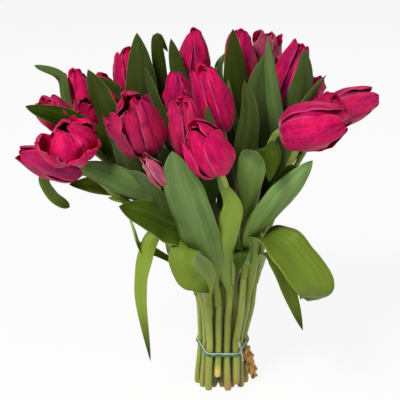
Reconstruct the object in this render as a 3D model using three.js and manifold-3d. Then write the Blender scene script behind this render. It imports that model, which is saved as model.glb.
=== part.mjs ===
// A bunch of cerise tulips tied near the foot with two thin cords, standing on its cut ends.
// Millimetres, +Z up. The origin is the centre of the cut end of the middle stem, on the surface.
// +X is to the right and -Y towards somebody who looks at the bunch from the front.
import * as THREE from "three";
import { mergeVertices } from "three/addons/utils/BufferGeometryUtils.js";
import Module from "manifold-3d";

const wasm = await Module();
wasm.setup();

// Driving dimensions of the bunch
const PITCH = 8.8; // centre to centre of two neighbouring stems where they are tied
const STEM_RADIUS = 4.05; // at the tie
const NECK_RADIUS = 2.9; // just under a bloom
const TIE_HEIGHT = 54; // of the teal cord at the middle of the bunch
const TIE_SLOPE = 0.45; // the cords lie lower in front and higher behind
const FREE_HEIGHT = 92; // above this each stem bends its own way
const FOOT_SPREAD = 1.16; // how much wider the bunch is at its cut ends than at the tie
const FREE_SPREAD = 1.12; // and where the stems part
const RIGHT_LEAN = 0.24; // how much further the stems at the right have leant out there
const SEAT_RADIUS = 3.9; // of the seat that a bloom's petals grow from
const PETAL_STEPS = [0.3, 0.65, 1]; // where a petal bends, above its seat
const CLEAR = 0.35; // air left between two pieces that touch
const BLADE = 0.9; // thickness of a leaf
const PETAL = 1.1; // thickness of a petal
const WHORL_GAP = 1.5; // from the three outer petals in to the three inner ones, and more as they widen
const NECK = 36; // how far below an upright bloom its stem already points its way
const BENT_NECK = 0.3; // share of that below a bloom that lies over, whose stem bends more sharply
const TEAL_RADIUS = 0.9; // half the thickness of the teal cord
const WHITE_RADIUS = 0.7; // and of the white one, which lies on top of it
const SHORT_FEET = { young_bud: 16, front_right: 7 }; // stems in front that were cut this much shorter

// Colours as linear-looking sRGB of the living flower
const CERISE = { color: "#c4175c", roughness: 0.55, metalness: 0 };
const LEAF_GREEN = { color: "#5c8a35", roughness: 0.5, metalness: 0 };
const TEAL = { color: "#3f9186", roughness: 0.7, metalness: 0 };
const WHITE = { color: "#d9dccf", roughness: 0.8, metalness: 0 };
const HUSK = { color: "#a9713a", roughness: 0.9, metalness: 0 };

// The stems stand in six rows at the tie, from the front row to the back row.
const ROWS = [4, 5, 6, 5, 4, 3];
const MIDDLE_ROW = 3;

// One line for each tulip: its place in the tie as [row, column], where its bloom starts, the way it
// looks, its length, its largest radius, how far its outer and its inner petals are open from 0 to 1,
// and its turn in degrees.
const TULIPS = [
  ["left_upright", [2, 1], [-141, 15, 288], [-0.22, 0.02, 0.97], 50, 16.5, [0.15, 0.09], 20],
  ["left_tucked", [1, 1], [-149, -30, 286.5], [-0.62, -0.2, 0.76], 44, 13.5, [0.55, 0.3], 50],
  ["left_dark", [2, 0], [-130, -11, 278], [-0.1, -0.25, 0.96], 41, 13.5, [0.6, 0.36], 0],
  ["left_open", [0, 0], [-138, -65, 269], [-0.28, -0.35, 0.89], 44, 26, [0.5, 0.1], 345],
  ["far_left", [1, 0], [-138, -43, 248], [-0.89, -0.25, 0.38], 66, 16, [0.05, 0.03], 10],
  ["left_behind", [3, 0], [-115, 58, 286], [-0.5, 0.1, 0.86], 42, 15, [0.3, 0.18], 40],
  ["upper_left", [4, 1], [-92, 46, 297], [-0.08, 0.09, 0.99], 56, 19, [0.35, 0.21], 30],
  ["front_left_open", [2, 2], [-74, -72, 277], [-0.24, -0.38, 0.89], 66, 24, [0.36, 0.26], 2],
  ["young_bud", [0, 1], [-55, -89, 250], [-0.5, -0.36, 0.79], 40, 8.2, [0.1, 0.06], 0],
  ["middle_bud", [2, 3], [-44, -16, 296], [-0.08, -0.1, 0.99], 48, 14, [0.05, 0.03], 60],
  ["tall_middle", [1, 3], [-2, -48, 290], [-0.3, -0.1, 0.95], 69, 17.5, [0.2, 0.1], 25],
  ["front_ruffled", [1, 2], [-32, -74, 272], [-0.16, -0.1, 0.98], 62, 15.5, [0.3, 0.2], 35],
  ["front_low", [0, 2], [-5, -102, 266], [-0.44, -0.28, 0.85], 60, 21.5, [0.22, 0.12], 15],
  ["top", [3, 2], [-30, 40, 321], [0, 0.02, 1], 51, 15.5, [0, 0], 30],
  ["upper_right", [3, 3], [18, 34, 312], [-0.04, 0.03, 1], 63, 16, [0.2, 0.12], 15],
  ["split", [4, 2], [39, 62, 306], [0.14, 0.1, 0.98], 62, 16, [0.45, 0.27], 70],
  ["right_leaning", [2, 4], [53, 10, 297], [0.33, 0.07, 0.94], 71, 17, [0.15, 0.09], 20],
  ["right_tucked", [3, 4], [81, 48, 279], [0.32, 0.2, 0.93], 48, 15, [0.35, 0.21], 0],
  ["far_right", [2, 5], [92, -10, 291], [0.9, -0.06, 0.43], 64, 18, [0.16, 0.09], 55],
  ["front_right", [0, 3], [49, -84, 300], [0.95, -0.2, 0.2], 62, 23.5, [0.2, 0.16], 72],
  ["right_open", [1, 4], [84, -42, 292], [0.63, -0.1, 0.77], 42, 15, [0.7, 0.42], 10],
  ["back_right", [4, 3], [97, 84, 244], [0.5, 0.5, 0.7], 52, 16, [0.3, 0.18], 30],
  ["back_middle_right", [5, 2], [52, 106, 250], [0.2, 0.55, 0.81], 54, 17, [0.5, 0.3], 0],
  ["back_middle", [5, 1], [3, 112, 246], [0, 0.6, 0.8], 52, 16, [0.2, 0.12], 45],
  ["back_left", [4, 0], [-50, 108, 252], [-0.15, 0.55, 0.82], 54, 17, [0.6, 0.36], 10],
  ["back_far_left", [3, 1], [-100, 96, 246], [-0.45, 0.5, 0.74], 52, 16, [0.25, 0.15], 20],
  ["back_top", [5, 0], [-28, 80, 284], [-0.02, 0.2, 0.98], 50, 15, [0.3, 0.18], 50],
];

// Petals that stand apart from the rest of their bloom: how far each is open, how far it flops down as
// a share of the bloom's length, and how wide it is against the others.
const STRAY_PETALS = {
  left_open: {
    0: { open: 0.9, flop: 0.4, wide: 1.1 },
    2: { open: 0.4, flop: 0.2, wide: 1 },
    4: { open: 0.85, flop: 0.1, wide: 1.1 },
  },
  front_left_open: {
    0: { open: 0.3, flop: 0, wide: 0.95 },
    2: { open: 0, flop: 0.02, wide: 1.1 },
    4: { open: 0.4, flop: 0.05, wide: 0.72 },
    5: { open: 0.14, flop: 0.07, wide: 0.8 },
  },
  front_low: {
    0: { open: 0.36, flop: 0.17, wide: 1.05 },
    4: { open: 0.38, flop: 0.14, wide: 0.8 },
  },
};

// One line for each leaf: the tulip that it grows on, the height where it leaves the stem, the points
// that its midrib runs through, its width, the ways that its upper face looks at the root and at the
// tip, and how far it is folded along the midrib in degrees.
const LEAVES = [
  ["young_bud", 118, [[-18, -70, 162], [-31, -92, 212], [-43, -108, 259], [-49, -116, 291]], 44,
    [[0.25, 1, 0.1], [0.3, 1, -0.2]], 24],
  ["left_dark", 120, [[-38, -58, 183], [-57, -72, 203], [-78, -84, 219], [-100, -92, 230]], 38,
    [[0.4, -0.6, 0.7], [0.3, -0.75, 0.6]], 12],
  ["left_open", 100, [[-17, -60, 142], [-25, -72, 165], [-35, -84, 185], [-41, -94, 176], [-35, -96, 160],
    [-25, -94, 151], [-15, -92, 142]], 30,
    [[0.3, 1, 0.2], [0.3, 0.8, 0.5], [0, 0, 1], [-0.5, -0.8, 0.3],
      [-0.4, -0.9, 0.1], [-0.2, -0.95, 0.1], [0.1, -0.95, 0.3]], 6],
  ["left_upright", 130, [[-44, -20, 168], [-66, -36, 182], [-79, -46, 156], [-83, -50, 115],
    [-75, -48, 45]], 19,
    [[0.8, 0.3, 0.5], [-0.1, -0.3, 1], [-0.5, -0.85, 0.3], [-0.3, -0.95, 0]], 14],
  ["left_tucked", 128, [[-70, -26, 157], [-85, -38, 167], [-92, -42, 194], [-98, -54, 221],
    [-113, -58, 227]], 16,
    [[0, -0.3, 1], [0.8, -0.3, 0.5], [0.9, 0.2, 0.4], [0.4, -0.8, 0.5]], 10],
  ["left_open", 150, [[-66, -60, 222], [-92, -68, 243], [-119, -70, 257], [-140, -72, 265]], 27,
    [[0.4, 0.8, 0.3], [0.1, 0.8, -0.5]], 14],
  ["left_upright", 165, [[-65, -22, 206], [-97, -42, 230], [-127, -44, 235], [-152, -44, 236]], 25,
    [[0.3, -0.5, 0.8], [0, -0.7, 0.7]], 12],
  ["left_tucked", 205, [[-130, -6, 238], [-160, -16, 247], [-178, -24, 236], [-170, -28, 219],
    [-154, -30, 207]], 15,
    [[0, 0, 1], [-0.3, 0, 1], [-0.6, -0.8, 0.2], [-0.4, -0.9, 0]], 12],
  ["left_dark", 225, [[-120, -34, 276], [-144, -48, 295], [-166, -58, 309], [-187, -66, 320]], 23,
    [[0.1, -0.7, 0.7], [0.1, -0.85, 0.5]], 14],
  ["left_open", 235, [[-104, -38, 268], [-113, -42, 304], [-122, -40, 328], [-130, -40, 349]], 28,
    [[0.4, 0.9, 0], [0.4, 0.9, 0]], 14],
  ["left_upright", 235, [[-146, -8, 286], [-156, -8, 311], [-161, -8, 336], [-185, -12, 347]], 10,
    [[0.3, 0.8, 0], [0.2, 0.5, -0.8]], 12],
  ["left_behind", 230, [[-90, 14, 288], [-106, 10, 316], [-124, 6, 332]], 11,
    [[0, 1, -0.4], [0, 1, -0.4]], 12],
  ["upper_left", 200, [[-72, 14, 244], [-81, 6, 290], [-83, 6, 335], [-86, 8, 375]], 36,
    [[0, 1, 0.1], [0, 1, 0.1]], 8],
  ["middle_bud", 185, [[-53, -30, 262], [-67, -28, 311], [-77, -24, 348]], 20,
    [[0.7, 0.7, 0], [0.7, 0.7, 0]], 14],
  ["top", 220, [[-56, 22, 280], [-64, 26, 330], [-67, 26, 366], [-56, 29, 352]], 14,
    [[0.1, 1, 0.1], [0.1, 1, 0.1], [0.5, 0.9, -0.3]], 10],
  ["top", 240, [[-38, 16, 300], [-47, 20, 338], [-53, 21, 367]], 17, [[0, 1, 0], [0, 1, 0]], 12],
  ["upper_right", 250, [[-14, 12, 310], [-14, 17, 328], [-5, 20, 339]], 9, [[0, 1, 0], [-0.3, 1, 0]], 10],
  ["split", 250, [[0, 50, 304], [-5, 52, 330], [2, 54, 346]], 10, [[0.3, 1, 0], [0.3, 1, 0]], 10],
  ["upper_right", 195, [[10, -4, 262], [12, -3, 310], [10, -1, 345], [8, 2, 380]], 27,
    [[0, 1, 0.1], [0, 1, 0.1]], 14],
  ["tall_middle", 170, [[3, -34, 214], [11, -30, 262], [3, -28, 338]], 17,
    [[-0.3, 1, 0], [-0.3, 1, 0]], 14],
  ["right_open", 170, [[26, -46, 225], [18, -60, 264], [22, -66, 312], [17, -66, 344]], 24,
    [[0.3, 1, 0], [0.3, 1, 0]], 22],
  ["right_leaning", 215, [[38, -6, 260], [34, -10, 292], [31, -10, 326], [39, -10, 358]], 22,
    [[0, 1, 0], [0, 1, 0]], 10],
  ["far_right", 190, [[60, -24, 250], [52, -28, 291], [45, -28, 335], [40, -28, 378]], 17,
    [[-0.1, 1, 0], [-0.1, 1, 0]], 24],
  ["right_tucked", 205, [[60, -10, 262], [71, -15, 306], [77, -15, 335], [77, -17, 364]], 26,
    [[-0.1, 1, 0], [-0.1, 1, 0]], 26],
  ["far_right", 235, [[70, -27, 296], [85, -28, 324], [97, -28, 341]], 10,
    [[-0.5, 0.8, 0.3], [-0.5, 0.8, 0.3]], 10],
  ["front_ruffled", 200, [[-12, -76, 258], [-14, -86, 292], [-17, -90, 327]], 16,
    [[0, 1, 0], [0, 1, 0]], 12],
  ["front_right", 160, [[23, -70, 224], [23, -82, 252], [27, -90, 278], [35, -98, 289], [41, -106, 281],
    [39, -110, 260]], 28,
    [[-0.2, 1, 0.2], [-0.1, 0.9, 0.3], [0, 0.9, 0.5], [0.1, 0, 1], [0.2, -0.9, 0.4], [0.2, -1, -0.1]], 8],
  ["front_right", 148, [[29, -70, 196], [47, -84, 230], [65, -90, 255], [80, -92, 275]], 26,
    [[-0.3, 0.9, -0.1], [-0.3, 0.8, -0.4]], 14],
  ["right_open", 190, [[46, -50, 230], [60, -60, 253], [72, -62, 251], [73, -58, 236]], 18,
    [[-0.3, -0.5, 0.8], [0, -0.3, 1], [0.8, -0.3, 0.3]], 10],
  ["right_open", 118, [[36, -62, 185], [54, -80, 187], [71, -90, 170], [86, -94, 150], [84, -88, 136],
    [78, -80, 147]], 43,
    [[-0.5, 0.8, 0.3], [-0.2, 0, 1], [0.3, -0.8, 0.6], [0.4, -0.9, 0.2],
      [0.3, -0.9, -0.3], [0.2, 0.2, -1]], 8],
  ["far_right", 132, [[43, -56, 170], [53, -62, 161], [65, -66, 129], [79, -66, 89]], 20,
    [[-0.5, 0.5, 0.7], [0.2, -0.8, 0.5], [0.5, -0.8, 0.3]], 12],
  ["front_left_open", 190, [[-72, -46, 222], [-89, -52, 252], [-101, -50, 276], [-110, -46, 294]], 16,
    [[0.5, 0.8, 0.2], [0.5, 0.8, 0]], 14],
  ["front_left_open", 160, [[-50, -56, 196], [-68, -78, 236], [-82, -88, 258], [-96, -92, 268]], 28,
    [[0.3, 0.7, 0.6], [0.2, 0.3, 0.9]], 14],
  ["front_left_open", 205, [[-84, -56, 243], [-98, -58, 275], [-116, -58, 306]], 30,
    [[0.6, 0.8, 0.2], [0.5, 0.8, 0]], 14],
  ["young_bud", 180, [[-44, -64, 217], [-46, -68, 250], [-56, -74, 270], [-66, -78, 284]], 24,
    [[0.4, 1, 0], [0.4, 1, 0]], 12],
  ["front_low", 118, [[-3, -62, 160], [3, -84, 206], [6, -94, 232], [-8, -101, 262]], 23,
    [[0.1, 1, 0.1], [0.1, 1, 0.3]], 20],
  ["right_open", 140, [[19, -52, 156], [18, -62, 173], [14, -68, 166], [13, -68, 155]], 16,
    [[0, 0.9, 0.4], [0, 0, 1], [0, -0.9, 0.3]], 8],
  ["back_right", 130, [[42, 40, 190], [66, 62, 226], [88, 76, 256]], 30,
    [[-0.6, -0.6, 0.5], [-0.6, -0.6, 0.5]], 12],
  ["back_middle_right", 120, [[22, 62, 190], [36, 92, 232], [34, 108, 280]], 26,
    [[-0.3, -0.9, 0.4], [-0.1, -1, 0]], 14],
  ["back_middle", 118, [[4, 54, 172], [8, 90, 190], [12, 114, 162], [14, 120, 112]], 24,
    [[0, -0.8, 0.6], [0, 0, 1], [0, 0.9, 0.4], [0, 1, -0.1]], 10],
  ["back_left", 128, [[-30, 56, 190], [-44, 82, 246], [-66, 98, 300]], 28,
    [[0.3, -0.9, 0.3], [0.3, -0.9, 0]], 14],
  ["back_left", 165, [[-24, 64, 215], [-20, 90, 262], [-22, 100, 312]], 22, [[0, -1, 0.2], [0, -1, 0]], 14],
  ["back_far_left", 140, [[-46, 34, 190], [-76, 58, 232], [-114, 76, 262]], 26,
    [[0.5, -0.5, 0.7], [0.4, -0.5, 0.8]], 12],
  ["back_far_left", 120, [[-34, 38, 172], [-50, 66, 186], [-58, 82, 154], [-60, 86, 108]], 20,
    [[0.5, -0.7, 0.5], [0, 0, 1], [-0.3, 0.9, 0.3], [-0.3, 0.9, 0]], 10],
  ["back_top", 225, [[-18, 62, 280], [-12, 64, 304], [-10, 64, 326]], 16, [[0, -1, 0], [0, -1, 0]], 12],
  ["split", 220, [[56, 38, 260], [62, 42, 300], [66, 44, 340]], 15, [[-0.2, -1, 0], [-0.2, -1, 0]], 12],
  ["right_tucked", 180, [[66, 34, 226], [90, 56, 256], [112, 70, 288]], 20,
    [[-0.6, -0.3, 0.7], [-0.6, -0.3, 0.6]], 12],
];

const V = (p) => new THREE.Vector3(...p);
const radians = THREE.MathUtils.degToRad;

// Faces between two rings of points. Each ring holds the same even number of points, the first half
// along one face and the second half back along the other, and both faces are split alike.
function band(a, b) {
  const n = a.length;
  return a.flatMap((p, i) => {
    const j = (i + 1) % n;
    if (i < n / 2) return [[p, a[j], b[j]], [p, b[j], b[i]]];
    return [[p, a[j], b[i]], [a[j], b[j], b[i]]];
  });
}

// Faces that close such a ring at the far end of a piece.
function cap(ring) {
  const faces = [];
  for (let i = 0; i < ring.length / 2 - 1; i++) {
    const k = ring.length - 1 - i;
    faces.push([ring[i], ring[i + 1], ring[k - 1]], [ring[i], ring[k - 1], ring[k]]);
  }
  return faces;
}

const numbers = (count, from = 0) => [...Array(count).keys()].map((k) => k + from);

// A closed solid skinned over rings of points.
function skin(rings, closed = false) {
  const n = rings[0].length;
  const index = rings.map((ring, r) => numbers(n, r * n));
  const faces = index.slice(1).flatMap((ring, r) => band(index[r], ring));
  if (closed) faces.push(...band(index.at(-1), index[0]));
  else faces.push(...cap(index.at(-1)), ...cap(index[0]).map((face) => face.reverse()));
  return solid(rings.flat(), faces);
}

// A manifold solid from points and faces that close up and look outwards.
function solid(points, faces) {
  const geometry = new THREE.BufferGeometry().setFromPoints(points);
  geometry.setIndex(faces.flat());
  return manifold(geometry);
}

function manifold(geometry) {
  geometry.deleteAttribute("normal");
  geometry.deleteAttribute("uv");
  const merged = mergeVertices(geometry, 1e-4);
  return new wasm.Manifold(
    new wasm.Mesh({
      numProp: 3,
      vertProperties: merged.attributes.position.array,
      triVerts: new Uint32Array(merged.index.array),
    }),
  );
}

// The point at parameter t, from 0 to 1, of a smooth curve through the points.
function through(points, t) {
  const last = points.length - 1;
  const at = Math.min(t * last, last - 1e-9);
  const i = Math.floor(at);
  const f = at - i;
  const p1 = points[i];
  const p2 = points[i + 1];
  const p0 = i > 0 ? points[i - 1] : p1.clone().multiplyScalar(2).sub(p2);
  const p3 = i + 2 <= last ? points[i + 2] : p2.clone().multiplyScalar(2).sub(p1);
  const out = new THREE.Vector3();
  for (const axis of ["x", "y", "z"]) {
    const [a, b, c, d] = [p0[axis], p1[axis], p2[axis], p3[axis]];
    out[axis] = 0.5 * (2 * b + (c - a) * f + (2 * a - 5 * b + 4 * c - d) * f * f
      + (3 * b - a - 3 * c + d) * f * f * f);
  }
  return out;
}

// Where a stem stands in the tie.
function slot([row, column]) {
  const x = (column - (ROWS[row] - 1) / 2) * PITCH;
  const y = (row - MIDDLE_ROW) * PITCH * Math.sqrt(3) / 2;
  return new THREE.Vector2(x, y);
}

// How much the bunch is spread at a height below FREE_HEIGHT.
function spread(z) {
  if (z < TIE_HEIGHT) return 1 + (FOOT_SPREAD - 1) * (1 - z / TIE_HEIGHT);
  return 1 + ((FREE_SPREAD - 1) * (z - TIE_HEIGHT)) / (FREE_HEIGHT - TIE_HEIGHT);
}

const TIED_SHARE = 0.2; // of the parameter along a stem, up to FREE_HEIGHT

// The centre line of a stem: straight up through the tie, and then one bend into its bloom.
function stemPoint(tulip, t) {
  const place = slot(tulip.place);
  const lean = RIGHT_LEAN * Math.max(place.x, 0);
  if (t < TIED_SHARE) {
    const z = (t / TIED_SHARE) * FREE_HEIGHT;
    const s = spread(z);
    const part = Math.max(0, (z - TIE_HEIGHT) / (FREE_HEIGHT - TIE_HEIGHT));
    return new THREE.Vector3(place.x * s + lean * part, place.y * s, z);
  }
  const f = (t - TIED_SHARE) / (1 - TIED_SHARE);
  const rise = tulip.base.z - FREE_HEIGHT;
  const a = new THREE.Vector3(place.x * FREE_SPREAD + lean, place.y * FREE_SPREAD, FREE_HEIGHT);
  const out = new THREE.Vector3(place.x * 0.4, place.y * 0.4, rise * 0.42);
  const b = a.clone().add(out);
  const neck = NECK * (BENT_NECK + (1 - BENT_NECK) * tulip.way.z);
  const c = tulip.base.clone().addScaledVector(tulip.way, -neck);
  return new THREE.CubicBezierCurve3(a, b, c, tulip.base).getPoint(f);
}

const STEM_STEPS = [0, (TIED_SHARE * TIE_HEIGHT) / FREE_HEIGHT, TIED_SHARE, 0.35, 0.5, 0.65, 0.8, 0.92, 1];
const STEM_SIDES = 6;

function stemSolid(tulip, grow = 0) {
  const rings = [];
  const side = new THREE.Vector3(1, 0, 0);
  STEM_STEPS.forEach((t) => {
    const centre = stemPoint(tulip, t);
    let along = new THREE.Vector3(0, 0, 1);
    if (t === 1) along = tulip.way;
    else if (t > 0) along = stemPoint(tulip, t + 0.01).sub(stemPoint(tulip, t - 0.01)).normalize();
    side.addScaledVector(along, -side.dot(along)).normalize();
    const other = along.clone().cross(side);
    const radius = grow + STEM_RADIUS + (NECK_RADIUS - STEM_RADIUS) * t;
    const ring = [];
    for (let i = 0; i < STEM_SIDES; i++) {
      const turn = (i / STEM_SIDES) * Math.PI * 2;
      ring.push(centre.clone().addScaledVector(side, Math.cos(turn) * radius)
        .addScaledVector(other, Math.sin(turn) * radius));
    }
    rings.push(ring);
  });
  return skin(rings);
}

// Half the width of a leaf as a share of its largest, along its length.
function leafOutline(s) {
  const body = 0.25 + 0.75 * Math.sin((Math.PI / 2) * Math.min(1, s / 0.45));
  return body * (1 - Math.max(0, (s - 0.45) / 0.55) ** 2.2) ** 0.8;
}

function leafSolid(leaf, grow = 0) {
  const steps = leaf.line.length;
  const rings = [...Array(steps + 1).keys()].map((k) => {
    const s = k / steps;
    const centre = through(leaf.line, s);
    const along = through(leaf.line, Math.min(s + 0.01, 1)).sub(through(leaf.line, Math.max(s - 0.01, 0)));
    along.normalize();
    const face = through(leaf.faces, s);
    const across = face.cross(along).normalize();
    const up = along.clone().cross(across);
    const half = Math.max(0.5 * leaf.width * leafOutline(s), 0.8) + grow;
    const thick = BLADE / 2 + grow;
    const fold = radians(leaf.fold) * (1 - 0.5 * s);
    const row = [-1, 0, 1].map((t) => centre.clone().addScaledVector(across, t * half * Math.cos(fold))
      .addScaledVector(up, Math.abs(t) * half * Math.sin(fold)));
    return [
      ...row.map((p) => p.clone().addScaledVector(up, -thick)),
      ...row.reverse().map((p) => p.clone().addScaledVector(up, thick)),
    ];
  });
  return skin(rings);
}

// A petal's line from the base of the bloom to its tip, as radius and height, as it opens and flops.
function petalLine({ length, radius }, { open, flop }, s) {
  const belly = radius * 1.27;
  const r = [SEAT_RADIUS, belly * (1 - 0.25 * open), belly * (1 + 0.1 * open), radius * (0.2 + 1.15 * open)];
  const z = [1, length * 0.02, length * (0.66 - 0.3 * flop), length * (1 - 0.12 * open - flop)];
  const shares = [(1 - s) ** 3, 3 * s * (1 - s) ** 2, 3 * s * s * (1 - s), s ** 3];
  const mix = (values) => values.reduce((sum, value, k) => sum + value * shares[k], 0);
  return new THREE.Vector2(mix(r), mix(z));
}

// The three axes of a bloom: two across it and one along it.
function bloomAxes(tulip) {
  const along = tulip.way;
  const helper = Math.abs(along.z) < 0.9 ? new THREE.Vector3(0, 0, 1) : new THREE.Vector3(0, -1, 0);
  const first = helper.clone().cross(along).normalize();
  return [first, along.clone().cross(first), along];
}

// The rings of points up one petal, above the seat.
function petalRings(tulip, number, grow) {
  const [first, second, along] = bloomAxes(tulip);
  const turn = radians(tulip.spin + 60 * number);
  const inside = number % 2 === 1 ? WHORL_GAP + 0.09 * tulip.radius : 0;
  const stray = STRAY_PETALS[tulip.name]?.[number];
  const petal = stray ?? { open: tulip.open[number % 2], flop: 0, wide: 1 };
  const columns = [-1, 0, 1];
  return PETAL_STEPS.map((s) => {
    const { x: reach, y: height } = petalLine(tulip, petal, s);
    const ahead = petalLine(tulip, petal, Math.min(s + 0.02, 1)).sub(petalLine(tulip, petal, s - 0.02));
    ahead.normalize();
    const r = Math.max(reach - inside * ahead.y, 1.3);
    const half = 0.86 * tulip.radius * petal.wide * (0.2 + 0.8 * Math.sin(Math.PI * s ** 0.85)) + grow;
    const angle = Math.min(half / r, 0.98);
    const thick = PETAL / 2 + grow;
    const point = (t, side) => {
      const phi = turn + t * angle;
      const outwards = first.clone().multiplyScalar(Math.cos(phi)).addScaledVector(second, Math.sin(phi));
      return tulip.base.clone().addScaledVector(outwards, r + side * thick * ahead.y)
        .addScaledVector(along, height + (inside - side * thick) * ahead.x);
    };
    return [...columns.map((t) => point(t, 1)), ...columns.map((t) => point(-t, -1))];
  });
}

// A bloom: a six-sided seat on top of the stem, with three outer petals from its lower edge and three
// inner ones from its upper edge. The seat's rings turn by 60 degrees a point, one to a petal.
function bloomSolid(tulip, grow = 0) {
  const [first, second, along] = bloomAxes(tulip);
  const points = [];
  const seat = [CLEAR - grow, 1.8 + grow, 3.2 - grow, 4.6 + grow].map((height) => {
    const ring = numbers(6, points.length);
    for (let i = 0; i < 6; i++) {
      const turn = radians(tulip.spin + 60 * i);
      points.push(tulip.base.clone().addScaledVector(along, height)
        .addScaledVector(first, Math.cos(turn) * (SEAT_RADIUS + grow))
        .addScaledVector(second, Math.sin(turn) * (SEAT_RADIUS + grow)));
    }
    return ring;
  });
  const faces = [];
  for (let i = 1; i < 5; i++) {
    faces.push([seat[0][0], seat[0][i + 1], seat[0][i]], [seat[3][0], seat[3][i], seat[3][i + 1]]);
  }
  for (let i = 0; i < 6; i++) {
    const j = (i + 1) % 6;
    faces.push([seat[1][i], seat[1][j], seat[2][j]], [seat[1][i], seat[2][j], seat[2][i]]);
  }
  for (let number = 0; number < 6; number++) {
    const [low, high] = number % 2 === 0 ? [seat[0], seat[1]] : [seat[2], seat[3]];
    const [before, after] = [(number + 5) % 6, (number + 1) % 6];
    let ring = [low[before], low[number], low[after], high[after], high[number], high[before]];
    for (const row of petalRings(tulip, number, grow)) {
      const next = numbers(row.length, points.length);
      points.push(...row);
      faces.push(...band(ring, next));
      ring = next;
    }
    faces.push(...cap(ring));
  }
  return solid(points, faces);
}

const tulips = new Map(TULIPS.map(([name, place, base, way, length, radius, open, spin]) => [
  name,
  { name, place, base: V(base), way: V(way).normalize(), length, radius, open, spin },
]));

// The height on a stem turned into its parameter, by halving.
function stemAt(tulip, height) {
  let [low, high] = [0, 1];
  for (let k = 0; k < 30; k++) {
    const middle = (low + high) / 2;
    if (stemPoint(tulip, middle).z < height) low = middle;
    else high = middle;
  }
  return low;
}

const leaves = LEAVES.map(([name, height, points, width, faces, fold]) => {
  const tulip = tulips.get(name);
  const root = stemPoint(tulip, stemAt(tulip, height));
  return { tulip, line: [root, ...points.map(V)], width, faces: faces.map(V), fold };
});

// Points of the two loose ends from the knot, as outwards, upwards and to the left of it.
const KNOT_RADIUS = 1.9;
const KNOT_WAY = new THREE.Vector3(0.75, -0.66, 0);
const LOOSE_ENDS = [
  [[1.6, 1.2, 0], [2.6, 6, -0.5], [2.2, 11, -2], [2.6, 15, -3.5]],
  [[1.6, 1.2, 0], [3.4, -3, 1], [2.9, -10, 2.5]],
];

// The dry husk of a leaf at the right, hanging down from the tie.
const HUSK_LEAF = {
  line: [[25.2, -11, 43.5], [27.2, -12, 31], [30.4, -12.5, 18], [34.5, -12, 7]].map(V),
  width: 9,
  faces: [[1, -0.5, 0.1], [1, -0.3, 0.3]].map(V),
  fold: 20,
};

const near = (a, b) => {
  const [p, q] = [a.boundingBox(), b.boundingBox()];
  return [0, 1, 2].every((k) => p.min[k] <= q.max[k] && q.min[k] <= p.max[k]);
};
const cutBy = (shape, cutters) => cutters.reduce(
  (left, cutter) => (near(left, cutter) ? left.subtract(cutter) : left),
  shape,
);
const largest = (shape) => shape.decompose().reduce((a, b) => (a.volume() > b.volume() ? a : b));

function mesh(name, shape, finish) {
  const m = shape.getMesh();
  const geometry = new THREE.BufferGeometry();
  geometry.setAttribute("position", new THREE.BufferAttribute(m.vertProperties, 3));
  geometry.setIndex(new THREE.BufferAttribute(m.triVerts, 1));
  const made = new THREE.Mesh(geometry, new THREE.MeshStandardMaterial(finish));
  made.name = name;
  return made;
}

// The line of a cord round the outer stems, as points with the way outwards at each. The cord lies
// against the round of each outer stem and runs straight from one to the next.
function cordLine(radius, lift) {
  const centres = [...tulips.values()].map((tulip) => slot(tulip.place));
  const reach = STEM_RADIUS + CLEAR + radius;
  const outermost = (turn) => centres.reduce((a, b) => {
    const ahead = (p) => p.x * Math.cos(turn) + p.y * Math.sin(turn);
    return ahead(b) > ahead(a) + 1e-6 ? b : a;
  });
  const line = [];
  let last = null;
  for (let degree = 0; degree < 360; degree += 2) {
    const turn = radians(degree);
    const centre = outermost(turn);
    const leaves = outermost(turn + radians(2)) !== centre;
    const arrives = centre !== last;
    last = centre;
    if (!arrives && !leaves && degree % 30 !== 0) continue;
    const out = new THREE.Vector3(Math.cos(turn), Math.sin(turn), 0);
    const z = TIE_HEIGHT + TIE_SLOPE * (centre.y + reach * out.y) + lift;
    const s = spread(z);
    line.push({ out, point: new THREE.Vector3(centre.x * s, centre.y * s, z).addScaledVector(out, reach) });
  }
  return line;
}

// A round cord along points, from the way outwards at each.
function cordSolid(line, radius, closed) {
  const rings = line.map(({ point, out }, k) => {
    const before = line[(k + line.length - 1) % line.length].point;
    const after = line[(k + 1) % line.length].point;
    const along = (closed || k < line.length - 1 ? after : point).clone();
    along.sub(closed || k > 0 ? before : point).normalize();
    const side = out.clone().addScaledVector(along, -out.dot(along)).normalize();
    const other = along.clone().cross(side);
    return numbers(6).map((i) => point.clone().addScaledVector(side, radius * Math.cos((i * Math.PI) / 3))
      .addScaledVector(other, radius * Math.sin((i * Math.PI) / 3)));
  });
  return skin(rings, closed);
}

// The white cord with its knot at the front right and two loose ends.
function whiteCord() {
  const line = cordLine(WHITE_RADIUS, TEAL_RADIUS + WHITE_RADIUS + CLEAR);
  const { point, out } = line.reduce((a, b) => (b.out.angleTo(KNOT_WAY) < a.out.angleTo(KNOT_WAY) ? b : a));
  const at = ([outwards, up, aside]) => point.clone().addScaledVector(out, outwards)
    .add(new THREE.Vector3(-out.y * aside, out.x * aside, up));
  const bead = new THREE.IcosahedronGeometry(KNOT_RADIUS, 1);
  const knot = manifold(bead.translate(...at([1.6, 1.2, 0]).toArray()));
  const ends = LOOSE_ENDS.map((points) => {
    const route = points.map((p) => ({ point: at(p), out }));
    return cordSolid(route, WHITE_RADIUS, false);
  });
  return ends.reduce((shape, end) => shape.add(end), cordSolid(line, WHITE_RADIUS, true).add(knot));
}

const bunch = new THREE.Group();
const grownBlooms = new Map();
const grownStems = new Map();
for (const tulip of tulips.values()) {
  bunch.add(mesh("bloom_" + tulip.name, bloomSolid(tulip), CERISE));
  grownBlooms.set(tulip, bloomSolid(tulip, CLEAR));
  grownStems.set(tulip, stemSolid(tulip, CLEAR));
}

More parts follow.
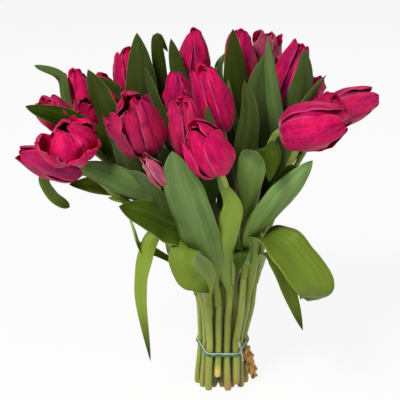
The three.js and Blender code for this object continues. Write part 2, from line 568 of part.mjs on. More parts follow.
// A leaf gives way to the blooms, to the stems of the other tulips and to the leaves before it.
const leafy = new Map([...tulips.values()].map((tulip) => [tulip, stemSolid(tulip)]));
Object.entries(SHORT_FEET).forEach(([name, height]) => {
  const short = tulips.get(name);
  leafy.set(short, leafy.get(short).trimByPlane([0, 0, 1], height));
});
const grownLeaves = [];
for (const leaf of leaves) {
  const others = grownLeaves.filter((g) => g.tulip !== leaf.tulip).map((g) => g.shape);
  const stems = [...grownStems].filter(([tulip]) => tulip !== leaf.tulip).map(([, shape]) => shape);
  const blade = cutBy(leafSolid(leaf), [...grownBlooms.values(), ...stems, ...others]);
  leafy.set(leaf.tulip, leafy.get(leaf.tulip).add(blade));
  grownLeaves.push({ tulip: leaf.tulip, shape: leafSolid(leaf, CLEAR) });
}
for (const [tulip, shape] of leafy) {
  bunch.add(mesh("stem_" + tulip.name, largest(shape), LEAF_GREEN));
}

bunch.add(mesh("cord_teal", cordSolid(cordLine(TEAL_RADIUS, 0), TEAL_RADIUS, true), TEAL));
bunch.add(mesh("cord_white", whiteCord(), WHITE));
bunch.add(mesh("dry_husk", largest(cutBy(leafSolid(HUSK_LEAF), [...grownStems.values()])), HUSK));

export default bunch;
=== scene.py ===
# %% [markdown]
# # A tied bunch of cerise tulips
# Cut tulips stand on their own cut ends, held near the foot by a teal cord and a thin white one.
# The frame holds a plain solid for each bloom, each stem with its leaves, the two cords and a dry
# husk. This script gives every one of them its fine shape and its finish. The blooms, leaves and
# cords follow the same few sizes and lines as the solids, so that each piece grows in its place.

# %% Load the frame
import math
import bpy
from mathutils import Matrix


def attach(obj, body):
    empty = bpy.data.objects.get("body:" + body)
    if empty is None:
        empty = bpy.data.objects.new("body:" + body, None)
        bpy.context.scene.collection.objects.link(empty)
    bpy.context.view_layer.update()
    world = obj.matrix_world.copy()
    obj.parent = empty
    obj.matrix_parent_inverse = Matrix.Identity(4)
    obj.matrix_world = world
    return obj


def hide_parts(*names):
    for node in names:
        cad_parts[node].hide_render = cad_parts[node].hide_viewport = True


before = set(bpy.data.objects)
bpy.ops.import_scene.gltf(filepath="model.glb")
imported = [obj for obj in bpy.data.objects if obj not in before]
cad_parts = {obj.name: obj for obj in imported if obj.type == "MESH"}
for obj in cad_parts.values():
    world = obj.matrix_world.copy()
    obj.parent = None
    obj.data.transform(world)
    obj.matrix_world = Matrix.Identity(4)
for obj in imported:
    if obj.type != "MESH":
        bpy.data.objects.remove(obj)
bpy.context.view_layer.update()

from types import SimpleNamespace
import bpy
import numpy as np
from mathutils import Color

MM = 0.001
UP = np.array([0.0, 0.0, 1.0])
print("nodes in the frame:", len(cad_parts))

# %% [markdown]
# ## Camera
# The bunch was seen from a little above its middle, about a metre away, with a longish lens. The
# camera is made first, because every later choice of shape is judged through it. A camera in
# Blender looks along its own -Z, so a quarter turn about X makes it look along +Y.

# %% Camera
PHOTO_PIXELS = 400
FOCAL_PIXELS = 1085
SENSOR = 36.0
CAMERA_PLACE = (-0.024, -1.05, 0.57)
CAMERA_PITCH = 19.2


def link(thing):
    bpy.context.scene.collection.objects.link(thing)
    return thing


camera_data = bpy.data.cameras.new("camera")
camera_data.sensor_width = SENSOR
camera_data.lens = SENSOR * FOCAL_PIXELS / PHOTO_PIXELS
camera = link(bpy.data.objects.new("camera", camera_data))
camera.location = CAMERA_PLACE
camera.rotation_euler = (math.radians(90 - CAMERA_PITCH), 0, 0)
bpy.context.scene.camera = camera
print("lens:", round(camera_data.lens, 1), "mm")

# %% [markdown]
# ## Node helpers
# Materials and Geometry Nodes trees are both made of nodes. One class adds nodes to a tree, sets
# their options and fills or links their inputs, so that a tree reads from top to bottom like a
# recipe. A material builds on it: its colour is laid on in coats, each over the last by a share,
# which is a constant, a stored attribute, a noise, or a product of a few of these. Little light
# comes deep into the crown of blooms and leaves, so a coat can paint in shade that deepens with how
# deep a point lies in it.

# %% Node helper
def hexa(code):
    """A colour written as six hex digits, as Blender's linear numbers."""
    shares = [int(code[k:k + 2], 16) / 255 for k in (0, 2, 4)]
    return (*Color(shares).from_srgb_to_scene_linear(), 1.0)


class Nodes:
    """Adds nodes to a tree."""

    def __init__(self, tree):
        self.tree = tree

    def add(self, kind, inputs=None, **options):
        """Adds a node. An input is a plain value, another node's output, or a node, for its first output."""
        made = self.tree.nodes.new(kind)
        for name, value in options.items():
            setattr(made, name, value)
        for name, value in (inputs or {}).items():
            if isinstance(value, bpy.types.Node):
                value = value.outputs[0]
            if isinstance(value, bpy.types.NodeSocket):
                self.tree.links.new(value, made.inputs[name])
            else:
                made.inputs[name].default_value = value
        return made

    def maths(self, operation, *values):
        return self.add("ShaderNodeMath", dict(enumerate(values)), operation=operation).outputs[0]

    def times(self, value, *factors):
        for factor in factors:
            value = self.maths("MULTIPLY", value, factor)
        return value


# %% Material helper
# The crown of blooms and leaves, inside which the finishes paint shade that deepens towards its heart.
CROWN_CENTRE = (-0.02, 0.02, 0.25)
CROWN_SCALE = (6.7, 8.4, 9.8)
CROWN_RIM = 0.95
CROWN_HEART = 0.5
SEED_STRIDE = 17.0


class Skin(Nodes):
    """A material. The finish holds values set on its shader."""

    def __init__(self, name, finish):
        self.material = bpy.data.materials.new(name)
        self.material.use_nodes = True
        super().__init__(self.material.node_tree)
        self.shader = next(n for n in self.tree.nodes if n.type == "BSDF_PRINCIPLED")
        for socket, value in finish.items():
            self.shader.inputs[socket].default_value = value
        self.place = self.add("ShaderNodeTexCoord").outputs["Object"]

    def attribute(self, name):
        return self.add("ShaderNodeAttribute", attribute_name=name).outputs["Fac"]

    def noise(self, scale, detail, place=None):
        sizes = {"Vector": self.place if place is None else place, "Scale": scale, "Detail": detail}
        return self.add("ShaderNodeTexNoise", sizes).outputs["Fac"]

    def streaks(self, fine, long, detail=3.0, seed=None):
        """Noise drawn out along a blade: fine is how often it changes across, long how often along."""
        seed = self.attribute("seed") if seed is None else seed
        drawn = self.add("ShaderNodeCombineXYZ", {"X": self.times(self.attribute("across"), fine),
                                                  "Y": self.times(self.attribute("along"), long),
                                                  "Z": self.times(seed, SEED_STRIDE)})
        return self.noise(1.0, detail, drawn)

    def step(self, value, low, high, most=1.0, least=0.0):
        """A smooth step from least to most, as value goes from low to high."""
        ends = {"Value": value, "From Min": low, "From Max": high, "To Min": least, "To Max": most}
        return self.add("ShaderNodeMapRange", ends, interpolation_type="SMOOTHSTEP").outputs["Result"]

    def crown_shade(self, most):
        """Painted shade, growing to most with how deep a point lies inside the mass of blooms and leaves."""
        away = self.add("ShaderNodeVectorMath", {0: self.place, 1: CROWN_CENTRE}, operation="SUBTRACT")
        scaled = self.add("ShaderNodeVectorMath", {0: away, 1: CROWN_SCALE}, operation="MULTIPLY")
        reach = self.add("ShaderNodeVectorMath", {0: scaled}, operation="LENGTH").outputs["Value"]
        return self.step(reach, CROWN_RIM, CROWN_HEART, most)

    def coats(self, colour, *layers):
        """Lays colours over a first one. A layer is a colour and its share. A string is a hex code."""
        for over, share in layers:
            first, second = [hexa(c) if isinstance(c, str) else c for c in (colour, over)]
            mix = self.add("ShaderNodeMix", {"Factor": share, "A": first, "B": second}, data_type="RGBA")
            colour = mix.outputs["Result"]
        return colour

    def finish(self, colour, relief=None, strength=0.0, depth=0.0):
        """Gives the shader its colour and its low relief, and returns the material."""
        self.tree.links.new(colour, self.shader.inputs["Base Color"])
        if relief:
            bump = self.add("ShaderNodeBump", {"Strength": strength, "Distance": depth, "Height": relief})
            self.tree.links.new(bump.outputs[0], self.shader.inputs["Normal"])
        return self.material


# %% [markdown]
# ## Floor and light
# The bunch stands on a plain pale floor that glows a little, so that it stays white right up to the
# horizon. A big soft lamp from the upper left front models the petals, and weaker ones from the
# right and from behind keep the shadows open. The sky is dim, so that the gaps between the leaves
# stay dark, but it meets the floor with a band as bright as the floor is.

# %% Floor and light
FLOOR_HALF = 60.0
FLOOR_DROP = 0.0003
FLOOR_GLOW = 0.9
SKY = (1.0, 1.0, 1.0, 1.0)
SKY_STRENGTH = 0.08
HORIZON_GLOW = 0.93
HORIZON_BAND = {"From Min": 0.03, "From Max": 0.1}
AIM = np.array([0.0, 0.0, 0.2])
# Each lamp's place in metres, its width and its power.
LAMPS = {
    "lamp_left": ((-1.0, -1.5, 2.1), 0.8, 64.0),
    "lamp_right": ((1.6, -1.5, 1.2), 1.2, 8.0),
    "lamp_back": ((0.3, 1.6, 1.8), 1.3, 8.0),
}


def make_floor():
    skin = Skin("pale_floor", {"Roughness": 0.9, "Specular IOR Level": 0.1, "Emission Color": SKY,
                               "Emission Strength": FLOOR_GLOW})
    corners = [(-1, -1), (1, -1), (1, 1), (-1, 1)]
    mesh = bpy.data.meshes.new("floor")
    mesh.from_pydata([(x * FLOOR_HALF, y * FLOOR_HALF, -FLOOR_DROP) for x, y in corners], [], [(0, 1, 2, 3)])
    mesh.materials.append(skin.finish(skin.coats("525251", ("565655", skin.noise(1.5, 2.0)))))
    floor = link(bpy.data.objects.new("floor", mesh))


def make_lamp(name, place, size, power):
    data = bpy.data.lights.new(name, "AREA")
    data.shape = "DISK"
    data.size = size
    data.energy = power
    lamp = link(bpy.data.objects.new(name, data))
    lamp.location = place
    x, y, z = AIM - np.array(place)
    lamp.rotation_euler = (math.atan2(math.hypot(x, y), -z), 0, math.atan2(-x, y))


def make_sky():
    """A dim sky that is as bright as the floor where the two meet."""
    world = bpy.data.worlds.new("sky")
    world.use_nodes = True
    nodes = Nodes(world.node_tree)
    way = nodes.add("ShaderNodeTexCoord").outputs["Generated"]
    height = nodes.add("ShaderNodeSeparateXYZ", {0: way}).outputs["Z"]
    glow = nodes.add("ShaderNodeMapRange", {"Value": height, **HORIZON_BAND, "To Min": HORIZON_GLOW,
                                            "To Max": SKY_STRENGTH})
    background = nodes.tree.nodes["Background"]
    background.inputs["Color"].default_value = SKY
    nodes.tree.links.new(glow.outputs[0], background.inputs["Strength"])
    bpy.context.scene.world = world


make_floor()
for lamp_name, lamp in LAMPS.items():
    make_lamp(lamp_name, *lamp)
make_sky()
bpy.context.scene.view_settings.view_transform = "Standard"
print("lamps:", len(LAMPS))

# %% [markdown]
# ## Petal finish
# A tulip petal has a satin skin over watery cells. Fine veins run up it and fan out, the base is
# pale green and white, the rim has a painted highlight, and the inner face is a deeper red than the
# outer one. The pattern has to follow the petal, so it reads attributes that the mesh stores: how
# far along and across the petal a point is, which face it is on, whether it looks down, and the
# bloom's own tints. Where a point looks down or lies deep in the crown, shade is painted in.

# %% Petal finish
PETAL_FINISH = {
    "Roughness": 0.42,
    "Specular IOR Level": 0.25,
    "Specular Tint": hexa("ff5484"),
    "Subsurface Weight": 0.06,
    "Subsurface Radius": (0.9, 0.25, 0.3),
    "Subsurface Scale": 0.0025,
    "Sheen Weight": 0.03,
    "Sheen Roughness": 0.45,
    "Sheen Tint": hexa("ff9ccc"),
}


def petal_finish():
    skin = Skin("satin_petal", PETAL_FINISH)
    step, times, maths = skin.step, skin.times, skin.maths
    labels = ("along", "across", "inner", "tint", "pale", "deep", "down")
    along, across, inner, tint, pale, deep, down = [skin.attribute(label) for label in labels]
    edge = maths("ABSOLUTE", across)
    veins = skin.streaks(34.0, 1.6)
    broad = skin.streaks(4.0, 2.2)
    blotch = skin.streaks(1.6, 2.6, 1.0)
    mottle = skin.noise(260.0, 2.0)
    # a painted highlight along the rim, on the outer and the inner face
    rim = step(edge, 0.85, 1.0, 0.35)
    flame = times(step(edge, 0.5, 0.0), step(along, 0.95, 0.2), step(broad, 0.3, 0.6, 1.0, 0.5), pale)
    foot = maths("ADD", along, maths("MULTIPLY_ADD", veins, 0.16, -0.08))
    outside = skin.coats(
        "c4074c",
        ("9e1260", tint),
        ("dc1258", step(blotch, 0.42, 0.62)),
        ("7e0434", step(broad, 0.5, 0.75, 0.55)),
        ("74062f", step(veins, 0.52, 0.72, 0.45)),
        ("ea4484", step(veins, 0.5, 0.3, 0.3)),
        ("e43a7a", step(mottle, 0.5, 0.7, 0.22)),
        ("960440", step(mottle, 0.5, 0.3, 0.2)),
        ("c4708a", times(pale, step(blotch, 0.3, 0.6, 0.9, 0.5))),
        ("ee6a9c", rim),
        ("b59a6a", flame),
        ("d8b98c", times(step(edge, 0.6, 1.0), pale, 0.9)),
        ("c9a8a8", step(foot, 0.2, 0.03)),
        ("c6cf9d", step(foot, 0.1, 0.01)))
    inside = skin.coats(
        "b8043a",
        ("ca0a48", step(blotch, 0.35, 0.7)),
        ("7c0426", step(veins, 0.5, 0.7, 0.4)),
        ("4c0010", step(along, 0.34, 0.03, 0.85)),
        ("d8306c", rim))
    whole = skin.coats(
        outside,
        (inside, inner),
        ("480010", times(deep, 0.75)),
        # painted shade deep in the crown and on the undersides
        ("2c0006", skin.crown_shade(0.45)),
        ("5c0018", times(down, 0.5)))
    relief = maths("MULTIPLY_ADD", mottle, 1.2, maths("MULTIPLY_ADD", broad, 1.5, veins))
    return skin.finish(whole, relief, 0.45, 0.0008)


petal_paint = petal_finish()
print("nodes in the petal finish:", len(petal_paint.node_tree.nodes))

# %% [markdown]
# ## Leaf and stalk finishes
# A tulip leaf is thick and waxy, a deep green above and a bluer, milky green below, with fine
# parallel veins, a pale margin and a yellower base. A leaf can be set younger, or darker, which is
# partly painted shade. Undersides and points deep in the crown get painted shade as well. The stalk
# shares its skin: olive at the foot, greener higher up, browned at the cut, and painted darker with
# shade where it is wedged in among the others and deep in the crown.

# %% Leaf finish
LEAF_FINISH = {
    "Roughness": 0.43,
    "Specular IOR Level": 0.25,
    "Specular Tint": hexa("d0e09a"),
    "Subsurface Weight": 0.03,
    "Subsurface Radius": (0.3, 0.6, 0.1),
    "Subsurface Scale": 0.002,
}


def leaf_finish():
    skin = Skin("waxy_leaf", LEAF_FINISH)
    step, times, maths = skin.step, skin.times, skin.maths
    labels = ("along", "across", "upper", "tone", "down")
    along, across, upper, tone, down = [skin.attribute(label) for label in labels]
    veins = skin.streaks(30.0, 1.2)
    broad = skin.streaks(3.0, 2.0, 2.0)
    cloud = step(broad, 0.35, 0.65)
    above = skin.coats("203202", ("304404", cloud), ("4c6814", step(along, 0.5, 0.0, 0.7)))
    below = skin.coats("63834a", ("789556", cloud), ("829838", step(along, 0.6, 0.05, 0.8)))
    green_tip = maths("MAXIMUM", step(along, 1.0, 0.8), step(tone, 1.0, 1.4))
    whole = skin.coats(
        below,
        (above, upper),
        ("8ea43c", times(step(tone, 0.0, 1.0), green_tip, step(along, 0.1, 0.5, 1.0, 0.4))),
        # a darker olive for low values, partly painted shade
        ("2a3206", step(tone, 0.0, -1.0)),
        ("2c4008", step(veins, 0.52, 0.7, 0.3)),
        ("7e9640", step(veins, 0.48, 0.3, 0.2)),
        ("93a04c", step(maths("ABSOLUTE", across), 0.93, 1.0, 0.5)),
        ("8a9840", step(along, 0.16, 0.02)),
        # painted shade deep in the crown and on the undersides
        ("0e1400", skin.crown_shade(0.88)),
        ("1c3000", times(down, 0.4)))
    return skin.finish(whole, maths("MULTIPLY_ADD", broad, 0.8, veins), 0.3, 0.0005)


leaf_paint = leaf_finish()
print("nodes in the leaf finish:", len(leaf_paint.node_tree.nodes))

# %% Stalk finish
STALK_FINISH = {
    "Roughness": 0.4,
    "Specular IOR Level": 0.42,
    "Subsurface Weight": 0.08,
    "Subsurface Radius": (0.4, 0.6, 0.1),
    "Subsurface Scale": 0.002,
    "Sheen Weight": 0.1,
}
GRAIN_SCALE = (700.0, 700.0, 22.0)


def stalk_finish():
    skin = Skin("smooth_stalk", STALK_FINISH)
    step, times = skin.step, skin.times
    height = skin.add("ShaderNodeSeparateXYZ", {0: skin.place}).outputs["Z"]
    grain = skin.noise(1.0, 3.0, skin.add("ShaderNodeMapping", {"Vector": skin.place, "Scale": GRAIN_SCALE}))
    patch = skin.noise(34.0, 2.0)
    green = skin.coats(
        "8e9834",
        ("7a8e30", step(height, 0.01, 0.26)),
        ("98a03e", step(patch, 0.4, 0.7)),
        ("5e7020", step(grain, 0.45, 0.75, 0.45)),
        ("a08038", times(step(height, 0.03, 0.004), step(patch, 0.42, 0.6, 0.85, 0.1))),
        ("cdbf62", times(skin.attribute("pale"), step(height, 0.034, 0.022))),
        # painted shade where the other stalks close in, and deep in the crown
        ("141c02", times(skin.attribute("shade_among_stalks"), 0.85)),
        ("101a00", skin.crown_shade(0.8)))
    return skin.finish(green, grain, 0.25, 0.0004)


stalk_paint = stalk_finish()
print("nodes in the stalk finish:", len(stalk_paint.node_tree.nodes))

# %% [markdown]
# ## The tulips
# One line holds what sets a tulip apart: its place in the tie, where its bloom starts, the way it
# looks, its length and largest radius, how far its outer and inner petals are open, and its turn, in
# millimetres and degrees, as on the solids. Its look comes last: how far the outside is magenta, how
# pale the margins are, how dark it is, and how ruffled. A tulip at the back has the plain look.

# %% The tulips
PITCH = 8.8
STEM_RADIUS = 4.05
NECK_RADIUS = 2.9
TIE_HEIGHT = 54
TIE_SLOPE = 0.45
FREE_HEIGHT = 92
FOOT_SPREAD = 1.16
FREE_SPREAD = 1.12
RIGHT_LEAN = 0.24
SEAT_RADIUS = 3.9
NECK = 36
BENT_NECK = 0.3
TIED_SHARE = 0.2
STEM_SPREADING = 0.4
STEM_RISING = 0.42
STEM_STEPS = 400
WHORL_GAP = 1.5
TEAL_RADIUS = 0.9
WHITE_RADIUS = 0.7
CLEAR = 0.35
SHORT_FEET = {"young_bud": 16, "front_right": 7}
ROWS = [4, 5, 6, 5, 4, 3]
MIDDLE_ROW = 3

TULIPS = [
    ["left_upright", [2, 1], [-141, 15, 288], [-0.22, 0.02, 0.97], 50, 16.5, [0.15, 0.09], 20,
     [0.3, 0, 0.1, 0.8]],
    ["left_tucked", [1, 1], [-149, -30, 286.5], [-0.62, -0.2, 0.76], 44, 13.5, [0.55, 0.3], 50,
     [0.7, 0.05, 0.2, 1]],
    ["left_dark", [2, 0], [-130, -11, 278], [-0.1, -0.25, 0.96], 41, 13.5, [0.6, 0.36], 0,
     [0.2, 0, 0.45, 0.9]],
    ["left_open", [0, 0], [-138, -65, 269], [-0.28, -0.35, 0.89], 44, 26, [0.5, 0.1], 345,
     [0.1, 0, 0, 1.5]],
    ["far_left", [1, 0], [-138, -43, 248], [-0.89, -0.25, 0.38], 66, 16, [0.05, 0.03], 10,
     [0.9, 0.05, 0.22, 0.6]],
    ["left_behind", [3, 0], [-115, 58, 286], [-0.5, 0.1, 0.86], 42, 15, [0.3, 0.18], 40,
     [0.4, 0, 0.2, 0.8]],
    ["upper_left", [4, 1], [-92, 46, 297], [-0.08, 0.09, 0.99], 56, 19, [0.35, 0.21], 30,
     [0.3, 0, 0.25, 0.8]],
    ["front_left_open", [2, 2], [-74, -72, 277], [-0.24, -0.38, 0.89], 66, 24, [0.36, 0.26], 2,
     [0.35, 0.05, 0.36, 2.1]],
    ["young_bud", [0, 1], [-55, -89, 250], [-0.5, -0.36, 0.79], 40, 8.2, [0.1, 0.06], 0, [1, 0.6, 0, 0.3]],
    ["middle_bud", [2, 3], [-44, -16, 296], [-0.08, -0.1, 0.99], 48, 14, [0.05, 0.03], 60,
     [0.5, 0, 0, 0.9]],
    ["tall_middle", [1, 3], [-2, -48, 290], [-0.3, -0.1, 0.95], 69, 17.5, [0.2, 0.1], 25,
     [0.35, 0, 0.05, 1]],
    ["front_ruffled", [1, 2], [-32, -74, 272], [-0.16, -0.1, 0.98], 62, 15.5, [0.3, 0.2], 35,
     [0.25, 0.05, 0, 1.5]],
    ["front_low", [0, 2], [-5, -102, 266], [-0.44, -0.28, 0.85], 60, 21.5, [0.22, 0.12], 15,
     [0.2, 0, 0, 0.7]],
    ["top", [3, 2], [-30, 40, 321], [0, 0.02, 1], 51, 15.5, [0, 0], 30, [0.5, 0, 0.25, 0.7]],
    ["upper_right", [3, 3], [18, 34, 312], [-0.04, 0.03, 1], 63, 16, [0.2, 0.12], 15, [0.4, 0, 0.25, 0.8]],
    ["split", [4, 2], [39, 62, 306], [0.14, 0.1, 0.98], 62, 16, [0.45, 0.27], 70, [0.7, 0.5, 0.5, 1.4]],
    ["right_leaning", [2, 4], [53, 10, 297], [0.33, 0.07, 0.94], 71, 17, [0.15, 0.09], 20,
     [0.7, 0, 0.15, 0.8]],
    ["right_tucked", [3, 4], [81, 48, 279], [0.32, 0.2, 0.93], 48, 15, [0.35, 0.21], 0, [0.3, 0, 0.3, 1]],
    ["far_right", [2, 5], [92, -10, 291], [0.9, -0.06, 0.43], 64, 18, [0.16, 0.09], 55,
     [0.5, 0.05, 0.25, 0.8]],
    ["front_right", [0, 3], [49, -84, 300], [0.95, -0.2, 0.2], 62, 23.5, [0.2, 0.16], 72,
     [0.3, 0, 0.15, 0.8]],
    ["right_open", [1, 4], [84, -42, 292], [0.63, -0.1, 0.77], 42, 15, [0.7, 0.42], 10, [0.2, 0, 0.3, 0.8]],
    ["back_right", [4, 3], [97, 84, 244], [0.5, 0.5, 0.7], 52, 16, [0.3, 0.18], 30],
    ["back_middle_right", [5, 2], [52, 106, 250], [0.2, 0.55, 0.81], 54, 17, [0.5, 0.3], 0],
    ["back_middle", [5, 1], [3, 112, 246], [0, 0.6, 0.8], 52, 16, [0.2, 0.12], 45],
    ["back_left", [4, 0], [-50, 108, 252], [-0.15, 0.55, 0.82], 54, 17, [0.6, 0.36], 10],
    ["back_far_left", [3, 1], [-100, 96, 246], [-0.45, 0.5, 0.74], 52, 16, [0.25, 0.15], 20],
    ["back_top", [5, 0], [-28, 80, 284], [-0.02, 0.2, 0.98], 50, 15, [0.3, 0.18], 50],
]

PLAIN_LOOK = [0.45, 0, 0.1, 0.8]


def unit(vectors):
    return vectors / np.maximum(np.linalg.norm(vectors, axis=-1, keepdims=True), 1e-9)


def make_tulip(order, line):
    name, place, base, way, length, radius, opening, spin, look = (*line, PLAIN_LOOK)[:9]
    tint, pale, deep, ruffle = look
    return SimpleNamespace(
        name=name, order=order, place=place, base=np.array(base, float), way=unit(np.array(way, float)),
        length=length, radius=radius, opening=opening, spin=math.radians(spin),
        tint=tint, pale=pale, deep=deep, ruffle=ruffle)


tulips = {line[0]: make_tulip(order, line) for order, line in enumerate(TULIPS)}
print("tulips:", len(tulips))

# %% [markdown]
# ## Lines in space
# A stem runs straight up through the tie and then takes one bend into its bloom. A leaf's midrib
# is a smooth curve through a few points. Both are worked out for a whole array of parameters at
# once with numpy, which is far quicker than a loop over points.

# %% Lines in space
def smooth(low, high, values):
    share = np.clip((np.asarray(values, float) - low) / (high - low), 0, 1)
    return share * share * (3 - 2 * share)


def bezier(points, t):
    """A cubic curve through the first and last of four points, or of four numbers."""
    a, b, c, d = [np.asarray(p, float) for p in points]
    t = np.asarray(t, float)
    if a.ndim:
        t = t[..., None]
    return a * (1 - t) ** 3 + 3 * b * t * (1 - t) ** 2 + 3 * c * t * t * (1 - t) + d * t ** 3


def through(points, t):
    """A smooth curve through all the points, for t from 0 to 1."""
    points = np.asarray(points, float)
    padded = np.vstack([2 * points[0] - points[1], points, 2 * points[-1] - points[-2]])
    at = np.clip(np.asarray(t, float) * (len(points) - 1), 0, len(points) - 1 - 1e-9)
    start = at.astype(int)
    f = (at - start)[..., None]
    a, b, c, d = [padded[start + k] for k in range(4)]
    third = 3 * b - a - 3 * c + d
    return 0.5 * (2 * b + (c - a) * f + (2 * a - 5 * b + 4 * c - d) * f ** 2 + third * f ** 3)


def slot_in_tie(place):
    row, column = place
    return np.array([(column - (ROWS[row] - 1) / 2) * PITCH, (row - MIDDLE_ROW) * PITCH * math.sqrt(3) / 2])


def spread(z):
    low = 1 + (FOOT_SPREAD - 1) * (1 - z / TIE_HEIGHT)
    high = 1 + (FREE_SPREAD - 1) * (z - TIE_HEIGHT) / (FREE_HEIGHT - TIE_HEIGHT)
    return np.where(z < TIE_HEIGHT, low, high)


def stem_points(tulip, t):
    """The centre line of a stem, for an array of t from 0 at the foot to 1 at the bloom."""
    t = np.atleast_1d(np.asarray(t, float))
    x, y = slot_in_tie(tulip.place)
    z = np.clip(t / TIED_SHARE, 0, 1) * FREE_HEIGHT
    lean = RIGHT_LEAN * max(x, 0)
    part = np.clip((z - TIE_HEIGHT) / (FREE_HEIGHT - TIE_HEIGHT), 0, 1)
    straight = np.stack([x * spread(z) + lean * part, y * spread(z), z], axis=-1)
    rise = tulip.base[2] - FREE_HEIGHT
    a = np.array([x * FREE_SPREAD + lean, y * FREE_SPREAD, FREE_HEIGHT])
    b = a + np.array([x * STEM_SPREADING, y * STEM_SPREADING, rise * STEM_RISING])
    neck = NECK * (BENT_NECK + (1 - BENT_NECK) * tulip.way[2])
    c = tulip.base - tulip.way * neck
    bent = bezier([a, b, c, tulip.base], np.clip((t - TIED_SHARE) / (1 - TIED_SHARE), 0, 1))
    return np.where((t < TIED_SHARE)[:, None], straight, bent)


def stem_share(tulip, heights):
    """The parameter at which a stem reaches the heights."""
    t = np.linspace(0, 1, STEM_STEPS)
    return np.interp(heights, stem_points(tulip, t)[:, 2], t)


print("longest stem:", round(max(tulip.base[2] for tulip in tulips.values())), "mm high")

# %% [markdown]
# ## From grids to closed meshes
# Petals and leaves are thin sheets with two faces. Each starts as a grid of points down its
# middle, and gets an outer and an inner skin a hair apart, joined by a rim, so that the mesh is
# closed and both faces can have their own colour. Many sheets are gathered into one mesh, which
# also stores how far each point looks down, so that the finishes can paint shade on the undersides.

# %% From grids to closed meshes
def store(mesh, label, values):
    """Stores a number at each point of a mesh, for the finishes to read."""
    mesh.attributes.new(label, "FLOAT", "POINT").data.foreach_set("value", np.asarray(values, np.float32))


def vectors(items, label):
    flat = np.empty(3 * len(items), np.float32)
    items.foreach_get(label, flat)
    return flat.reshape(-1, 3)


class Sheets:
    """Gathers closed thin sheets, and values stored at their points, into one mesh."""

    def __init__(self):
        self.points = []
        self.faces = []
        self.values = {}
        self.count = 0

    def add(self, middle, thickness, front_name, **values):
        """Adds a sheet. middle is a grid of points, rows by columns, whose normal is columns x rows."""
        rows, columns = middle.shape[:2]
        size = rows * columns
        normal = unit(np.cross(np.gradient(middle, axis=1), np.gradient(middle, axis=0)))
        half = 0.5 * np.broadcast_to(thickness, (rows, columns))[..., None]
        near = np.arange(size).reshape(rows, columns) + self.count
        a, b, c, d = near[:-1, :-1], near[:-1, 1:], near[1:, 1:], near[1:, :-1]
        rim = np.concatenate([near[0, :-1], near[:-1, -1], near[-1, :0:-1], near[:0:-1, 0]])
        after = np.roll(rim, -1)
        self.faces.append(np.stack([a, b, c, d], axis=-1).reshape(-1, 4))
        self.faces.append(np.stack([d, c, b, a], axis=-1).reshape(-1, 4) + size)
        self.faces.append(np.stack([rim + size, after + size, after, rim], axis=-1))
        self.points += [(middle + side * half * normal).reshape(-1, 3) for side in (1, -1)]
        values[front_name] = np.concatenate([np.ones(size), np.zeros(size)])
        for name, value in values.items():
            value = np.asarray(value, float)
            if value.shape != (2 * size,):
                value = np.tile(np.broadcast_to(value, (rows, columns)).reshape(-1), 2)
            self.values.setdefault(name, []).append(value)
        self.count += 2 * size

    def mesh(self, name, material):
        mesh = bpy.data.meshes.new(name)
        points = np.concatenate(self.points) * MM
        mesh.from_pydata(points.tolist(), [], np.concatenate(self.faces).tolist())
        for label, parts in self.values.items():
            store(mesh, label, np.concatenate(parts))
        mesh.materials.append(material)
        mesh.shade_smooth()
        mesh.validate()
        # how far each point looks down, for the painted shade on the undersides
        store(mesh, "down", np.clip(-vectors(mesh.vertex_normals, "vector")[:, 2], 0, 1))
        return mesh


def install(name, mesh, finish_slot, *nodes):
    """Makes a mesh a piece of the bunch that stands for the given nodes of the frame."""
    piece = link(bpy.data.objects.new(name, mesh))
    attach(piece, "root")
    if nodes:
        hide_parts(*nodes)


# %% [markdown]
# ## Petals
# A tulip has three outer petals and three inner ones. Each follows one side line, which bellies
# out from the seat and closes in at the tip, and wraps round the bloom's axis. Open blooms use
# the same line with a wider mouth. Small waves, a groove down the middle and a rolled rim, drawn
# from a fixed seed, keep any two petals from being alike. Two ruffled blooms have more petals than
# their solids, because they are fuller than the rest.

# %% Petal sizes
PETAL_ROWS = 25
PETAL_COLUMNS = 17
PETAL_THICKNESS = 0.75
WHORL = 6
PETAL_SEED = 100
PETAL_VARIETY = [(-0.05, 0.07), (0.95, 1.05), (0.97, 1.03)]      # openness, width and length
BELLY = 1.27
PETAL_SPAN = 0.9
LEAST_RADIUS = 1.2
WRAP_LIMIT = 1.12
TIP_CROWDING = 1.35      # rows are closer towards the tip
RIM_CROWDING = 1.2       # and columns towards the rim
GROOVE_DEPTH = 0.8
GROOVE_WIDTH = 0.1
CREASE_PLACES = (-0.5, 0.5)
CREASE_DEPTH = (-1.9, 1.3)
CREASE_WIDTH = 0.13
CREASE_SWAY = 0.12
RUFFLE = 1.4
# Waves along the margins: size, how many, how far the two margins are apart, and which phase.
RUFFLE_WAVES = [(1.0, 2.3, 0.35, 0), (0.6, 4.1, -0.3, 1), (0.35, 7.7, 0.2, 7)]
PLEAT = 0.55
LUMP = 0.8
# Waves over the face: size, how many along and across, and which phase.
LUMP_WAVES = [(1.0, 1.1, 0.7, 2), (0.7, 1.7, -0.9, 3)]
CRUMPLE = 1.2
CURL = (-1.2, 2.2)
TURN_JITTER = 0.05
TWIST = 0.12

